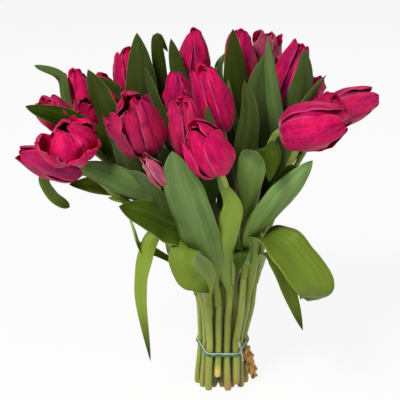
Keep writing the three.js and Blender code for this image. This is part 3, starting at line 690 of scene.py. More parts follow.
# Petals that stand apart from the rest of their bloom: how much more open, how far flopped down and
# how wide they are. Those from the seventh on are extra petals, and their turn in degrees is added.
STRAY_PETALS = {
    "left_open": {0: (0.4, 0.4, 1.1), 2: (-0.1, 0.2, 1.0), 4: (0.35, 0.1, 1.1)},
    "front_left_open": {
        0: (-0.06, 0.0, 0.95), 1: (-0.2, 0.05, 0.9), 2: (-0.44, 0.02, 1.1), 3: (-0.12, 0.03, 0.9),
        4: (0.04, 0.05, 0.72), 5: (-0.12, 0.07, 0.8), 6: (0.42, 0.24, 0.34, 200), 7: (-0.42, 0.16, 0.9, 130),
        8: (-0.46, 0.1, 0.8, 20)},
    "front_ruffled": {6: (-0.05, 0.04, 0.7, 310)},
    "front_low": {0: (0.14, 0.17, 1.05), 4: (0.16, 0.14, 0.8), 5: (-0.02, 0.02, 0.8)},
}
print("stray petals:", sum(map(len, STRAY_PETALS.values())))


# %% Petal lines
def side_line(tulip, s, opening, flop):
    """How far a petal reaches out from the axis and up along it."""
    belly = BELLY * tulip.radius
    reach = bezier([SEAT_RADIUS, belly * (1 - 0.25 * opening), belly * (1 + 0.1 * opening),
                    tulip.radius * (0.2 + 1.15 * opening)], s)
    tall = tulip.length
    height = bezier([1, 0.02 * tall, (0.66 - 0.3 * flop) * tall, (1 - 0.12 * opening - flop) * tall], s)
    return reach, height


def closing(tulip, s, opening):
    """How far an inner petal's tip closes in further than the solid's, and folds down into the mouth."""
    shut = np.clip(1 - opening / 0.25, 0, 1) * tulip.radius
    return 0.17 * shut * smooth(0.6, 1, s), 0.16 * shut * smooth(0.82, 1, s) ** 2


def petal_outline(s):
    body = 0.22 + 0.78 * np.sin(np.pi / 2 * np.minimum(1, s / 0.5))
    tip = (1 - np.clip((s - 0.5) / 0.5, 0, 1) ** 2.6) ** 0.62
    return np.maximum(body * tip, 0.025)


def bloom_axes(tulip):
    helper = UP if abs(tulip.way[2]) < 0.9 else np.array([0.0, -1.0, 0.0])
    first = unit(np.cross(helper, tulip.way))
    return first, np.cross(tulip.way, first), tulip.way


# %% The grid of a petal
def petal_grid(tulip, number, draw):
    """The grid down the middle of a petal, and its two parameters."""
    loose, wide, tall = [draw.uniform(low, high) for low, high in PETAL_VARIETY]
    flop, turn = 0.0, 360 / WHORL * number
    stray = STRAY_PETALS.get(tulip.name, {}).get(number)
    if stray:
        loose, flop, wide, turn = (*stray, turn)[:4]
    opening = tulip.opening[number % 2] + loose
    rows = 1 - (1 - np.linspace(0, 1, PETAL_ROWS)) ** TIP_CROWDING
    columns = np.sin(np.linspace(-1, 1, PETAL_COLUMNS) * RIM_CROWDING) / math.sin(RIM_CROWDING)
    s, t = np.meshgrid(rows, columns, indexing="ij")
    reach, height = side_line(tulip, rows, opening, flop)
    height = height * tall
    if number % 2 and not stray:
        inwards, down = closing(tulip, rows, opening)
        reach, height = reach - inwards, height - down
    out_step, up_step = unit(np.stack([np.gradient(reach), np.gradient(height)], axis=-1)).T[..., None]
    inside = WHORL_GAP + 0.09 * tulip.radius if number % 2 else 0.0
    radius = np.maximum(reach[:, None] - inside * up_step, LEAST_RADIUS)
    angle = np.minimum(PETAL_SPAN * tulip.radius * petal_outline(rows)[:, None] * wide / radius, WRAP_LIMIT)

    def wave(turns, shift=0.0):
        return np.sin(2 * np.pi * (turns + shift))

    phase = draw.uniform(0, 1, 8)
    side = np.sign(t)
    belly = np.sin(np.pi * s)
    lift = -(0.07 + 0.1 * opening) * tulip.radius * t ** 2 * belly ** 0.6
    lift = lift - GROOVE_DEPTH * np.exp(-(t / GROOVE_WIDTH) ** 2) * belly ** 0.8
    for place in CREASE_PLACES:
        crease = np.exp(-((t - place - CREASE_SWAY * np.sin(4 * s + phase[6])) / CREASE_WIDTH) ** 2)
        lift = lift + draw.uniform(*CREASE_DEPTH) * tulip.ruffle * crease * belly
    edge = sum(size * wave(beat * s + apart * side, phase[k]) for size, beat, apart, k in RUFFLE_WAVES)
    lumps = sum(size * wave(beat * s + lean * t, phase[k]) for size, beat, lean, k in LUMP_WAVES)
    lift = lift + RUFFLE * tulip.ruffle * np.abs(t) ** 3 * smooth(0.25, 0.7, s) * edge
    lift = lift + PLEAT * tulip.ruffle * wave(1.7 * t + 0.3 * s, phase[5]) * belly ** 1.5
    lift = lift + LUMP * belly * lumps
    lift = lift + CRUMPLE * tulip.ruffle * smooth(0.72, 1, s) * wave(1.3 * t, phase[4])
    lift = lift + draw.uniform(*CURL) * smooth(0.86, 1, s) ** 2

    phi = tulip.spin + math.radians(turn) + draw.uniform(-TURN_JITTER, TURN_JITTER)
    phi = phi + t * angle + draw.uniform(-TWIST, TWIST) * s ** 2
    first, second, along = bloom_axes(tulip)
    out = np.cos(phi)[..., None] * first + np.sin(phi)[..., None] * second
    r = radius + lift * up_step
    up = height[:, None] + (inside - lift) * out_step
    return tulip.base + out * r[..., None] + along * up[..., None], s, t


# %% Petals
def make_petals(tulip):
    draw = np.random.default_rng(PETAL_SEED + tulip.order)
    sheets = Sheets()
    extra = [number for number in STRAY_PETALS.get(tulip.name, {}) if number >= WHORL]
    for number in [*range(WHORL), *extra]:
        middle, s, t = petal_grid(tulip, number, draw)
        thickness = PETAL_THICKNESS * (1 - 0.55 * np.abs(t) ** 3) * (1 - 0.5 * s ** 4)
        sheets.add(middle, thickness, "outer", along=s, across=t, seed=draw.uniform(0, 1),
                   tint=tulip.tint, pale=tulip.pale, deep=tulip.deep)
    sheets.values["inner"] = [1 - part for part in sheets.values.pop("outer")]
    mesh = sheets.mesh("petals_" + tulip.name, petal_paint)
    install("petals_" + tulip.name, mesh, "petal", "bloom_" + tulip.name)
    return WHORL + len(extra)


print("petals:", sum(make_petals(tulip) for tulip in tulips.values()))

# %% [markdown]
# ## Geometry Nodes helpers
# Stalks and cords are tubes along a path, and the heart of a bloom repeats its stamens round an
# axis. Geometry Nodes do both from named inputs. The result is taken off as a plain mesh, because
# an exported model keeps neither the modifier nor its instances.

# %% Geometry Nodes helpers
def geometry_tree(name, inputs):
    """A new tree with a geometry input, the named inputs and a geometry output, and what it is given."""
    group = bpy.data.node_groups.new(name, "GeometryNodeTree")
    group.interface.new_socket("Geometry", in_out="INPUT", socket_type="NodeSocketGeometry")
    for label, kind in inputs.items():
        group.interface.new_socket(label, in_out="INPUT", socket_type="NodeSocket" + kind)
    group.interface.new_socket("Geometry", in_out="OUTPUT", socket_type="NodeSocketGeometry")
    nodes = Nodes(group)
    return nodes, nodes.add("NodeGroupInput").outputs


def close_tree(nodes, geometry, material):
    """Ends a tree: real geometry, smooth shading and the material."""
    real = nodes.add("GeometryNodeRealizeInstances", {"Geometry": geometry})
    smoothed = nodes.add("GeometryNodeSetShadeSmooth", {"Geometry": real})
    painted = nodes.add("GeometryNodeSetMaterial", {"Geometry": smoothed, "Material": material})
    nodes.add("NodeGroupOutput", {"Geometry": painted})
    return nodes.tree


def path_object(lines, closed=False):
    """A curve object with one straight-segment spline for each list of points in millimetres."""
    data = bpy.data.curves.new("path", "CURVE")
    data.dimensions = "3D"
    for points in lines:
        spline = data.splines.new("POLY")
        spline.points.add(len(points) - 1)
        flat = np.column_stack([np.asarray(points) * MM, np.ones(len(points))])
        spline.points.foreach_set("co", flat.ravel())
        spline.use_cyclic_u = closed
    return link(bpy.data.objects.new("path", data))


def grow(base, tree, name, settings):
    """Runs a tree on an object and returns what it makes as a plain mesh."""
    modifier = base.modifiers.new("grow", "NODES")
    modifier.node_group = tree
    sockets = {item.name: item.identifier for item in tree.interface.items_tree if item.in_out == "INPUT"}
    for label, value in settings.items():
        modifier[sockets[label]] = value
    evaluated = base.evaluated_get(bpy.context.evaluated_depsgraph_get())
    mesh = bpy.data.meshes.new_from_object(evaluated)
    mesh.name = name
    base.modifiers.remove(modifier)
    bpy.data.objects.remove(base)
    return mesh


# %% [markdown]
# ## Hearts
# Inside an open tulip stand six stamens with long dark anthers, round a pale green pistil with a
# three-lobed tip. One stamen is built at the centre of a tree and set on the points of a small
# circle, each turned to lean outwards. The parts are told apart by a stored value, so that one
# finish can colour them all.

# %% Heart sizes and finish
FILAMENT, ANTHER, PISTIL, STIGMA = 0.0, 1.0, 2.0, 3.0
OPEN_BLOOM = 0.2
HEART_LIFT = 1.5
STAMENS = 6
STAMEN_LEAN = 0.16
PISTIL_SHARE = 0.36
HEART_SIZES = {"Ring": 2.6, "Filament": 8, "Anther": 11, "Pistil Radius": 2.3}
FILAMENT_WIDTH = 0.07    # as a share of its length, as is the next
ANTHER_WIDTH = 0.11
LOBES = 3


def heart_finish():
    skin = Skin("flower_heart", {"Roughness": 0.7, "Specular IOR Level": 0.2})
    part = skin.attribute("part")
    dust = skin.noise(1400.0, 2.0)
    dark = skin.coats("1c0a1e", ("4a2c48", skin.step(dust, 0.45, 0.65)))
    green = skin.coats("9aa85c", ("b4bc78", skin.step(dust, 0.4, 0.7)))
    colours = zip((dark, green, "d8cc94"), (ANTHER, PISTIL, STIGMA))
    whole = skin.coats("c8b490", *[(colour, skin.step(part, n - 0.6, n - 0.4)) for colour, n in colours])
    return skin.finish(whole, dust, 0.4, 0.0002)


# %% Parts of a heart
def told_apart(nodes, geometry, part):
    return nodes.add("GeometryNodeStoreNamedAttribute", {"Geometry": geometry, "Name": "part", "Value": part})


def set_up(nodes, geometry, **place):
    return nodes.add("GeometryNodeTransform", {"Geometry": geometry, **place})


def lifted(nodes, height):
    return nodes.add("ShaderNodeCombineXYZ", {"Z": height})


def rod(nodes, length, bottom, top, sides, part):
    """A tapered rod that stands on the origin."""
    made = nodes.add("GeometryNodeMeshCone", {"Vertices": sides, "Side Segments": 3, "Radius Top": top,
                                              "Radius Bottom": bottom, "Depth": length})
    return told_apart(nodes, made, part)


def drop(nodes, width, tall, height, part):
    """A long round body whose middle is at the given height."""
    ball = nodes.add("GeometryNodeMeshUVSphere", {"Segments": 12, "Rings": 8, "Radius": 1.0})
    size = nodes.add("ShaderNodeCombineXYZ", {"X": width, "Y": width, "Z": tall})
    return told_apart(nodes, set_up(nodes, ball, Translation=lifted(nodes, height), Scale=size), part)


def joined(nodes, *parts):
    made = nodes.add("GeometryNodeJoinGeometry")
    for part in parts:
        nodes.tree.links.new(part.outputs[0], made.inputs[0])
    return made


def round_ring(nodes, thing, number, ring, height, lean):
    """Copies of a thing on a ring, each turned to face outwards and leant by the given angle."""
    circle = nodes.add("GeometryNodeCurvePrimitiveCircle", {"Resolution": number, "Radius": ring})
    spots = nodes.add("GeometryNodeCurveToPoints", {"Curve": circle}, mode="EVALUATED")
    share = nodes.maths("DIVIDE", nodes.add("GeometryNodeInputIndex").outputs[0], number)
    way = nodes.add("ShaderNodeCombineXYZ", {"Y": lean, "Z": nodes.times(share, 2 * math.pi)})
    copies = nodes.add("GeometryNodeInstanceOnPoints", {"Points": spots, "Instance": thing, "Rotation": way})
    return set_up(nodes, copies, Translation=lifted(nodes, height))


# %% Hearts
def heart_tree():
    nodes, given = geometry_tree("heart", {
        "Stamens": "Int", "Ring": "Float", "Lean": "Float", "Filament": "Float", "Anther": "Float",
        "Pistil": "Float", "Pistil Radius": "Float", "Place": "Vector", "Turn": "Vector",
        "Material": "Material"})
    thin = nodes.times(given["Filament"], FILAMENT_WIDTH)
    stalk = rod(nodes, given["Filament"], thin, nodes.times(thin, 0.6), 8, FILAMENT)
    half = nodes.times(given["Anther"], 0.5)
    middle = nodes.maths("MULTIPLY_ADD", half, 0.9, given["Filament"])
    anther = drop(nodes, nodes.times(given["Anther"], ANTHER_WIDTH), half, middle, ANTHER)
    stamen = joined(nodes, stalk, anther)
    stamens = round_ring(nodes, stamen, given["Stamens"], given["Ring"], 0.0, given["Lean"])
    neck = nodes.times(given["Pistil Radius"], 0.75)
    pistil = rod(nodes, given["Pistil"], given["Pistil Radius"], neck, 12, PISTIL)
    lobes = round_ring(nodes, drop(nodes, neck, neck, 0.0, STIGMA), LOBES, neck, given["Pistil"], 0.0)
    whole = joined(nodes, stamens, pistil, lobes)
    placed = set_up(nodes, whole, Translation=given["Place"], Rotation=given["Turn"])
    return close_tree(nodes, placed, given["Material"])


def make_heart(tulip):
    way = tulip.way
    sizes = {label: size * MM for label, size in HEART_SIZES.items()}
    mesh = grow(path_object([[tulip.base, tulip.base + way]]), hearts, "heart_" + tulip.name, {
        **sizes, "Stamens": STAMENS, "Lean": STAMEN_LEAN, "Pistil": PISTIL_SHARE * tulip.length * MM,
        "Place": tuple((tulip.base + HEART_LIFT * way) * MM),
        "Turn": (0.0, math.acos(way[2]), math.atan2(way[1], way[0])), "Material": heart_paint})
    install("heart_" + tulip.name, mesh, "petal")


heart_paint = heart_finish()
hearts = heart_tree()
open_blooms = [tulip for tulip in tulips.values() if tulip.opening[1] > OPEN_BLOOM]
for tulip in open_blooms:
    make_heart(tulip)
print("hearts:", len(open_blooms))

# %% [markdown]
# ## Stalks
# A stalk is a round tube that thins towards the bloom, with a softly rounded cut end and a slight
# swelling where the bloom sits on it. The tree sweeps a circle along the stem's line, sets its
# radius from the foot to the neck, and presses low dents into it so that no stalk is a machined
# cylinder. Each stalk also wanders a little off its line, and stores how far the others close in on
# it, so that shade can be painted on it where they do.

# %% Stalk sizes
STALK_RINGS = 90
STALK_SIDES = 16
STALK_SEED = 300
STALK_POINTS = 240
HIDING_POINTS = 200
SEAT_START = 0.985       # the share of a stalk's length where it starts to swell
CUT_ROUNDING = 0.004     # and up to which its cut end is rounded
CUT_WIDTH = 0.8
DENT_SCALE = (90.0, 90.0, 26.0)
DENT = 0.9
WANDER = 0.8             # how far a stalk strays from its line, and how fast it waves
WANDER_BEAT = (0.03, 0.05)
GIRTH = (0.92, 1.07)     # how much thinner or thicker than the solid a stalk's foot is
TIE_HOLD = 40
NECK_HOLD = 0.85
INTO_SEAT = 1.6
# The painted shade between stalks is full at the first gap below and gone at the second.
WEDGED = 0.2             # the gap at which the next stalk hides this one, and the gap that frees it
OPEN_GAP = 4.0
FAR = 100.0
CUT_PALE = "young_bud"   # the stalk that shows pale pith above its cut


# %% Stalk tree
def stalk_tree():
    nodes, given = geometry_tree("stalk", {
        "Foot Radius": "Float", "Neck Radius": "Float", "Seat Radius": "Float", "Rings": "Int",
        "Sides": "Int", "Dent": "Float", "Seed": "Float", "Material": "Material"})
    line = nodes.add("GeometryNodeResampleCurve", {"Curve": given["Geometry"], "Count": given["Rings"]})
    spot = nodes.add("GeometryNodeSplineParameter").outputs["Factor"]

    def along(low, high, start, end, **options):
        ends = {"Value": spot, "From Min": low, "From Max": high, "To Min": start, "To Max": end}
        return nodes.add("ShaderNodeMapRange", ends, **options).outputs[0]

    body = along(0.0, 1.0, given["Foot Radius"], given["Neck Radius"])
    swelling = nodes.maths("SUBTRACT", given["Seat Radius"], given["Neck Radius"])
    seat = along(SEAT_START, 1.0, 0.0, swelling)
    end = along(0.0, CUT_ROUNDING, CUT_WIDTH, 1.0, interpolation_type="SMOOTHERSTEP")
    radius = nodes.times(nodes.maths("ADD", body, seat), end)
    circle = nodes.add("GeometryNodeCurvePrimitiveCircle", {"Resolution": given["Sides"], "Radius": 1.0})
    tube = nodes.add("GeometryNodeCurveToMesh", {"Curve": line, "Profile Curve": circle, "Scale": radius,
                                                 "Fill Caps": True})
    place = nodes.add("GeometryNodeInputPosition")
    drawn = nodes.add("ShaderNodeVectorMath", {0: place, 1: DENT_SCALE}, operation="MULTIPLY")
    moved = nodes.add("ShaderNodeVectorMath", {0: drawn, 1: given["Seed"]}, operation="ADD")
    dents = nodes.add("ShaderNodeTexNoise", {"Vector": moved, "Scale": 1.0, "Detail": 1.0}).outputs["Fac"]
    depth = nodes.times(nodes.maths("SUBTRACT", dents, 0.5), given["Dent"])
    outward = nodes.add("GeometryNodeInputNormal")
    offset = nodes.add("ShaderNodeVectorMath", {0: outward, "Scale": depth}, operation="SCALE")
    dented = nodes.add("GeometryNodeSetPosition", {"Geometry": tube, "Offset": offset})
    return close_tree(nodes, dented, given["Material"])


stalks = stalk_tree()
print("nodes in the stalk tree:", len(stalks.nodes))

# %% Stalks
shares = np.linspace(0, 1, HIDING_POINTS)
stem_lines = {tulip.name: stem_points(tulip, shares).T for tulip in tulips.values()}


def shade_among_stems(points, own):
    """Painted shade on a stalk: how far the other stems close in on each point, from 0 where it is free
    to 1 where it is wedged in.
    """
    nearest = np.full(len(points), FAR)
    for name, (x, y, z) in stem_lines.items():
        if name != own:
            height = points[:, 2]
            away = [points[:, axis] - np.interp(height, z, line) for axis, line in ((0, x), (1, y))]
            gap = np.hypot(*away) - STEM_RADIUS
            nearest = np.minimum(nearest, np.where(height < z[-1], gap, FAR))
    return 1 - smooth(WEDGED, OPEN_GAP, nearest)


def make_stalk(tulip):
    draw = np.random.default_rng(STALK_SEED + tulip.order)
    start = float(stem_share(tulip, SHORT_FEET.get(tulip.name, 0)))
    t = np.linspace(start, 1, STALK_POINTS)
    points = stem_points(tulip, t)
    for axis in (0, 1):
        beat, phase = draw.uniform(*WANDER_BEAT), draw.uniform(0, 6)
        free = smooth(0, TIE_HOLD, np.abs(points[:, 2] - TIE_HEIGHT)) * smooth(1, NECK_HOLD, t)
        points[:, axis] += WANDER * np.sin(beat * points[:, 2] + phase) * free
    end = points[-1] + tulip.way * INTO_SEAT
    foot_radius = (STEM_RADIUS + (NECK_RADIUS - STEM_RADIUS) * start) * draw.uniform(*GIRTH)
    mesh = grow(path_object([np.vstack([points, end])]), stalks, "stalk_" + tulip.name, {
        "Foot Radius": foot_radius * MM, "Neck Radius": NECK_RADIUS * MM, "Seat Radius": SEAT_RADIUS * MM,
        "Rings": STALK_RINGS, "Sides": STALK_SIDES, "Dent": DENT * MM, "Seed": float(tulip.order),
        "Material": stalk_paint})
    made = vectors(mesh.vertices, "co")
    made[:, 2] = np.maximum(made[:, 2], 0)
    mesh.vertices.foreach_set("co", made.ravel())
    # the painted shade where the other stalks close in
    store(mesh, "shade_among_stalks", shade_among_stems(made / MM, tulip.name))
    store(mesh, "pale", np.full(len(made), tulip.name == CUT_PALE))
    install("stalk_" + tulip.name, mesh, "leaf", "stem_" + tulip.name)


for tulip in tulips.values():
    make_stalk(tulip)
print("stalks:", len(tulips))

# %% [markdown]
# ## Leaves
# A tulip leaf clasps its stalk, widens, and ends in a point. Its midrib runs through a few points,
# and its upper face turns from one way to another as it bends over. Near the stalk the blade is
# rolled round it, and further on it opens into a shallow fold with a slightly waved margin. A leaf
# that would run through a bloom is bent clear of it, as the real one lies against it.

# %% Leaf tables
# For each leaf of a tulip: the height where it leaves the stem, the points of its midrib, its width,
# the ways its upper face looks from root to tip, or one way for all of it, how far it is folded, and
# how young or dark it is, from -1 for dark olive, which is partly painted shade, to 1 for yellow-green.
LEAVES = {
    "young_bud": [
        [118, [[-18, -70, 162], [-31, -92, 212], [-43, -108, 259], [-49, -116, 291]], 44, [[0.25, 1, 0.1],
         [0.3, 1, -0.2]], 24, -0.28],
        [180, [[-44, -64, 217], [-46, -68, 250], [-56, -74, 270], [-66, -78, 284]], 24, [0.4, 1, 0], 12,
         -0.4]],
    "left_dark": [
        [120, [[-38, -58, 183], [-57, -72, 203], [-78, -84, 219], [-100, -92, 230]], 38, [[0.4, -0.6, 0.7],
         [0.3, -0.75, 0.6]], 12, 0.2],
        [225, [[-120, -34, 276], [-144, -48, 295], [-166, -58, 309], [-187, -66, 320]], 23,
         [[0.1, -0.7, 0.7], [0.1, -0.85, 0.5]], 14, 0]],
    "left_open": [
        [100, [[-17, -60, 142], [-25, -72, 165], [-35, -84, 185], [-41, -94, 176], [-35, -96, 160],
         [-25, -94, 151], [-15, -92, 142]], 30, [[0.3, 1, 0.2], [0.3, 0.8, 0.5], [0, 0, 1],
         [-0.5, -0.8, 0.3], [-0.4, -0.9, 0.1], [-0.2, -0.95, 0.1], [0.1, -0.95, 0.3]], 6, 0.5],
        [150, [[-66, -60, 222], [-92, -68, 243], [-119, -70, 257], [-140, -72, 265]], 27, [[0.4, 0.8, 0.3],
         [0.1, 0.8, -0.5]], 14, -0.4],
        [235, [[-104, -38, 268], [-113, -42, 304], [-122, -40, 328], [-130, -40, 349]], 28, [0.4, 0.9, 0],
         14, -0.85]],
    "left_upright": [
        [130, [[-44, -20, 168], [-66, -36, 182], [-79, -46, 156], [-83, -50, 115], [-75, -48, 45]], 19,
         [[0.8, 0.3, 0.5], [-0.1, -0.3, 1], [-0.5, -0.85, 0.3], [-0.3, -0.95, 0]], 14, 0.7],
        [165, [[-65, -22, 206], [-97, -42, 230], [-127, -44, 235], [-152, -44, 236]], 25, [[0.3, -0.5, 0.8],
         [0, -0.7, 0.7]], 12, 0.5],
        [235, [[-146, -8, 286], [-156, -8, 311], [-161, -8, 336], [-185, -12, 347]], 10, [[0.3, 0.8, 0],
         [0.2, 0.5, -0.8]], 12, -0.6]],
    "left_tucked": [
        [128, [[-70, -26, 157], [-85, -38, 167], [-92, -42, 194], [-98, -54, 221], [-113, -58, 227]], 16,
         [[0, -0.3, 1], [0.8, -0.3, 0.5], [0.9, 0.2, 0.4], [0.4, -0.8, 0.5]], 10, 1.5],
        [205, [[-130, -6, 238], [-160, -16, 247], [-178, -24, 236], [-170, -28, 219], [-154, -30, 207]], 15,
         [[0, 0, 1], [-0.3, 0, 1], [-0.6, -0.8, 0.2], [-0.4, -0.9, 0]], 12, 0.3]],
    "left_behind": [
        [230, [[-90, 14, 288], [-106, 10, 316], [-124, 6, 332]], 11, [0, 1, -0.4], 12, -0.8]],
    "upper_left": [
        [200, [[-72, 14, 244], [-81, 6, 290], [-83, 6, 335], [-86, 8, 375]], 36, [0, 1, 0.1], 8, -0.8]],
    "middle_bud": [
        [185, [[-53, -30, 262], [-67, -28, 311], [-77, -24, 348]], 20, [0.7, 0.7, 0], 14, -0.75]],
    "top": [
        [220, [[-56, 22, 280], [-64, 26, 330], [-67, 26, 366], [-56, 29, 352]], 14, [[0.1, 1, 0.1],
         [0.1, 1, 0.1], [0.5, 0.9, -0.3]], 10, -0.9],
        [240, [[-38, 16, 300], [-47, 20, 338], [-53, 21, 367]], 17, [0, 1, 0], 12, -0.8]],
    "upper_right": [
        [250, [[-14, 12, 310], [-14, 17, 328], [-5, 20, 339]], 9, [[0, 1, 0], [-0.3, 1, 0]], 10, -0.3],
        [195, [[10, -4, 262], [12, -3, 310], [10, -1, 345], [8, 2, 380]], 27, [0, 1, 0.1], 14, -0.9]],
    "split": [
        [250, [[0, 50, 304], [-5, 52, 330], [2, 54, 346]], 10, [0.3, 1, 0], 10, -0.5],
        [220, [[56, 38, 260], [62, 42, 300], [66, 44, 340]], 15, [-0.2, -1, 0], 12, -0.6]],
    "tall_middle": [
        [170, [[3, -34, 214], [11, -30, 262], [3, -28, 338]], 17, [-0.3, 1, 0], 14, -0.4]],
    "right_open": [
        [170, [[26, -46, 225], [18, -60, 264], [22, -66, 312], [17, -66, 344]], 24, [0.3, 1, 0], 22, -0.75],
        [190, [[46, -50, 230], [60, -60, 253], [72, -62, 251], [73, -58, 236]], 18, [[-0.3, -0.5, 0.8],
         [0, -0.3, 1], [0.8, -0.3, 0.3]], 10, 0],
        [118, [[36, -62, 185], [54, -80, 187], [71, -90, 170], [86, -94, 150], [84, -88, 136],
         [78, -80, 147]], 43, [[-0.5, 0.8, 0.3], [-0.2, 0, 1], [0.3, -0.8, 0.6], [0.4, -0.9, 0.2],
         [0.3, -0.9, -0.3], [0.2, 0.2, -1]], 8, 0.5],
        [140, [[19, -52, 156], [18, -62, 173], [14, -68, 166], [13, -68, 155]], 16, [[0, 0.9, 0.4],
         [0, 0, 1], [0, -0.9, 0.3]], 8, 0]],
    "right_leaning": [
        [215, [[38, -6, 260], [34, -10, 292], [31, -10, 326], [39, -10, 358]], 22, [0, 1, 0], 10, -0.6]],
    "far_right": [
        [190, [[60, -24, 250], [52, -28, 291], [45, -28, 335], [40, -28, 378]], 17, [-0.1, 1, 0], 24,
         -0.45],
        [235, [[70, -27, 296], [85, -28, 324], [97, -28, 341]], 10, [-0.5, 0.8, 0.3], 10, -0.5],
        [132, [[43, -56, 170], [53, -62, 161], [65, -66, 129], [79, -66, 89]], 20, [[-0.5, 0.5, 0.7],
         [0.2, -0.8, 0.5], [0.5, -0.8, 0.3]], 12, 0.35]],
    "right_tucked": [
        [205, [[60, -10, 262], [71, -15, 306], [77, -15, 335], [77, -17, 364]], 26, [-0.1, 1, 0], 26, -0.7],
        [180, [[66, 34, 226], [90, 56, 256], [112, 70, 288]], 20, [[-0.6, -0.3, 0.7], [-0.6, -0.3, 0.6]],
         12, 0]],
    "front_ruffled": [
        [200, [[-12, -76, 258], [-14, -86, 292], [-17, -90, 327]], 16, [0, 1, 0], 12, -0.7]],
    "front_right": [
        [160, [[23, -70, 224], [23, -82, 252], [27, -90, 278], [35, -98, 289], [41, -106, 281],
         [39, -110, 260]], 28, [[-0.2, 1, 0.2], [-0.1, 0.9, 0.3], [0, 0.9, 0.5], [0.1, 0, 1],
         [0.2, -0.9, 0.4], [0.2, -1, -0.1]], 8, 0.1],
        [148, [[29, -70, 196], [47, -84, 230], [65, -90, 255], [80, -92, 275]], 26, [[-0.3, 0.9, -0.1],
         [-0.3, 0.8, -0.4]], 14, 0]],
    "front_left_open": [
        [190, [[-72, -46, 222], [-89, -52, 252], [-101, -50, 276], [-110, -46, 294]], 16, [[0.5, 0.8, 0.2],
         [0.5, 0.8, 0]], 14, -0.75],
        [160, [[-50, -56, 196], [-68, -78, 236], [-82, -88, 258], [-96, -92, 268]], 28, [[0.3, 0.7, 0.6],
         [0.2, 0.3, 0.9]], 14, -0.55],
        [205, [[-84, -56, 243], [-98, -58, 275], [-116, -58, 306]], 30, [[0.6, 0.8, 0.2], [0.5, 0.8, 0]],
         14, -0.7]],
    "front_low": [
        [118, [[-3, -62, 160], [3, -84, 206], [6, -94, 232], [-8, -101, 262]], 23, [[0.1, 1, 0.1],
         [0.1, 1, 0.3]], 20, 0.8]],
    "back_right": [
        [130, [[42, 40, 190], [66, 62, 226], [88, 76, 256]], 30, [-0.6, -0.6, 0.5], 12, 0]],
    "back_middle_right": [
        [120, [[22, 62, 190], [36, 92, 232], [34, 108, 280]], 26, [[-0.3, -0.9, 0.4], [-0.1, -1, 0]], 14,
         0]],
    "back_middle": [
        [118, [[4, 54, 172], [8, 90, 190], [12, 114, 162], [14, 120, 112]], 24, [[0, -0.8, 0.6], [0, 0, 1],
         [0, 0.9, 0.4], [0, 1, -0.1]], 10, 0.2]],
    "back_left": [
        [128, [[-30, 56, 190], [-44, 82, 246], [-66, 98, 300]], 28, [[0.3, -0.9, 0.3], [0.3, -0.9, 0]], 14,
         0],
        [165, [[-24, 64, 215], [-20, 90, 262], [-22, 100, 312]], 22, [[0, -1, 0.2], [0, -1, 0]], 14, 0]],
    "back_far_left": [
        [140, [[-46, 34, 190], [-76, 58, 232], [-114, 76, 262]], 26, [[0.5, -0.5, 0.7], [0.4, -0.5, 0.8]],
         12, 0],
        [120, [[-34, 38, 172], [-50, 66, 186], [-58, 82, 154], [-60, 86, 108]], 20, [[0.5, -0.7, 0.5],
         [0, 0, 1], [-0.3, 0.9, 0.3], [-0.3, 0.9, 0]], 10, 0.1]],
    "back_top": [
        [225, [[-18, 62, 280], [-12, 64, 304], [-10, 64, 326]], 16, [0, -1, 0], 12, -0.5]],
}
print("leaves:", sum(map(len, LEAVES.values())))

# %% Leaf sizes
LEAF_SEED = 500
LEAF_COLUMNS = 13
LEAST_ROWS = 24
LEAF_STEP = 3.2
LEAF_THICKNESS = 0.9
SHEATH = 0.1             # how far down the stalk a leaf's base runs, as a share of its length
CLASP = 8.5              # half the width of that base
OPENED = 160             # the radius to which the rolled blade opens
STANDOFF = 1.6           # between a leaf and the bloom it is bent clear of
CLEARING_POINTS = 30
CLEARING_ROWS = 3
EASING_ROWS = 15
WAVE_LENGTH = 62         # of the margin, and how high it waves as a share of half the width
WAVE_HEIGHT = 0.075
MARGINS_APART = 0.21     # how far the two margins are out of step
RIB_DEPTH = 0.35
RIB_WIDTH = 0.1
BLUNT_LEAVES = {("left_tucked", 205), ("left_upright", 235)}
print("blunt leaves:", len(BLUNT_LEAVES))


# %% Leaf lines
def leaf_outline(s, blunt):
    """Half the width of a leaf as a share of its largest. A blunt leaf stays wide up to a round tip."""
    s = np.clip(s, 0, 1)
    body = 0.25 + 0.75 * np.sin(np.pi / 2 * np.minimum(1, s / 0.45))
    inward = np.maximum(0, (s - 0.45) / 0.55)
    tip = (1 - inward ** 6) ** 0.5 if blunt else (1 - inward ** 2.2) ** 0.8
    return np.maximum(body * tip, 0.012)


def clear_of_bloom(line, tulip):
    """Shifts for a leaf's line that keep it outside a bloom, all the same way."""
    s = np.linspace(0, 1, CLEARING_POINTS)
    reach, height = side_line(tulip, s, tulip.opening[0], 0.0)
    away = line - tulip.base
    up = away @ tulip.way
    across = away - up[:, None] * tulip.way
    need = np.interp(up, height, reach, left=0, right=0) + STANDOFF
    inside = (np.linalg.norm(across, axis=1) < need) & (up > -1) & (up < height.max())
    if not inside.any():
        return np.zeros_like(line)
    way = unit(across[inside].mean(axis=0))
    lean = across @ way
    step = -lean + np.sqrt(np.maximum(lean ** 2 - (across ** 2).sum(axis=1) + need ** 2, 0))
    step = np.where(inside, step, 0)
    kernel = np.hanning(EASING_ROWS)
    wide = np.maximum.reduce([np.roll(step, k) for k in range(-CLEARING_ROWS, CLEARING_ROWS + 1)])
    eased = np.convolve(wide, kernel / kernel.sum(), mode="same")
    return np.maximum(eased, step)[:, None] * way


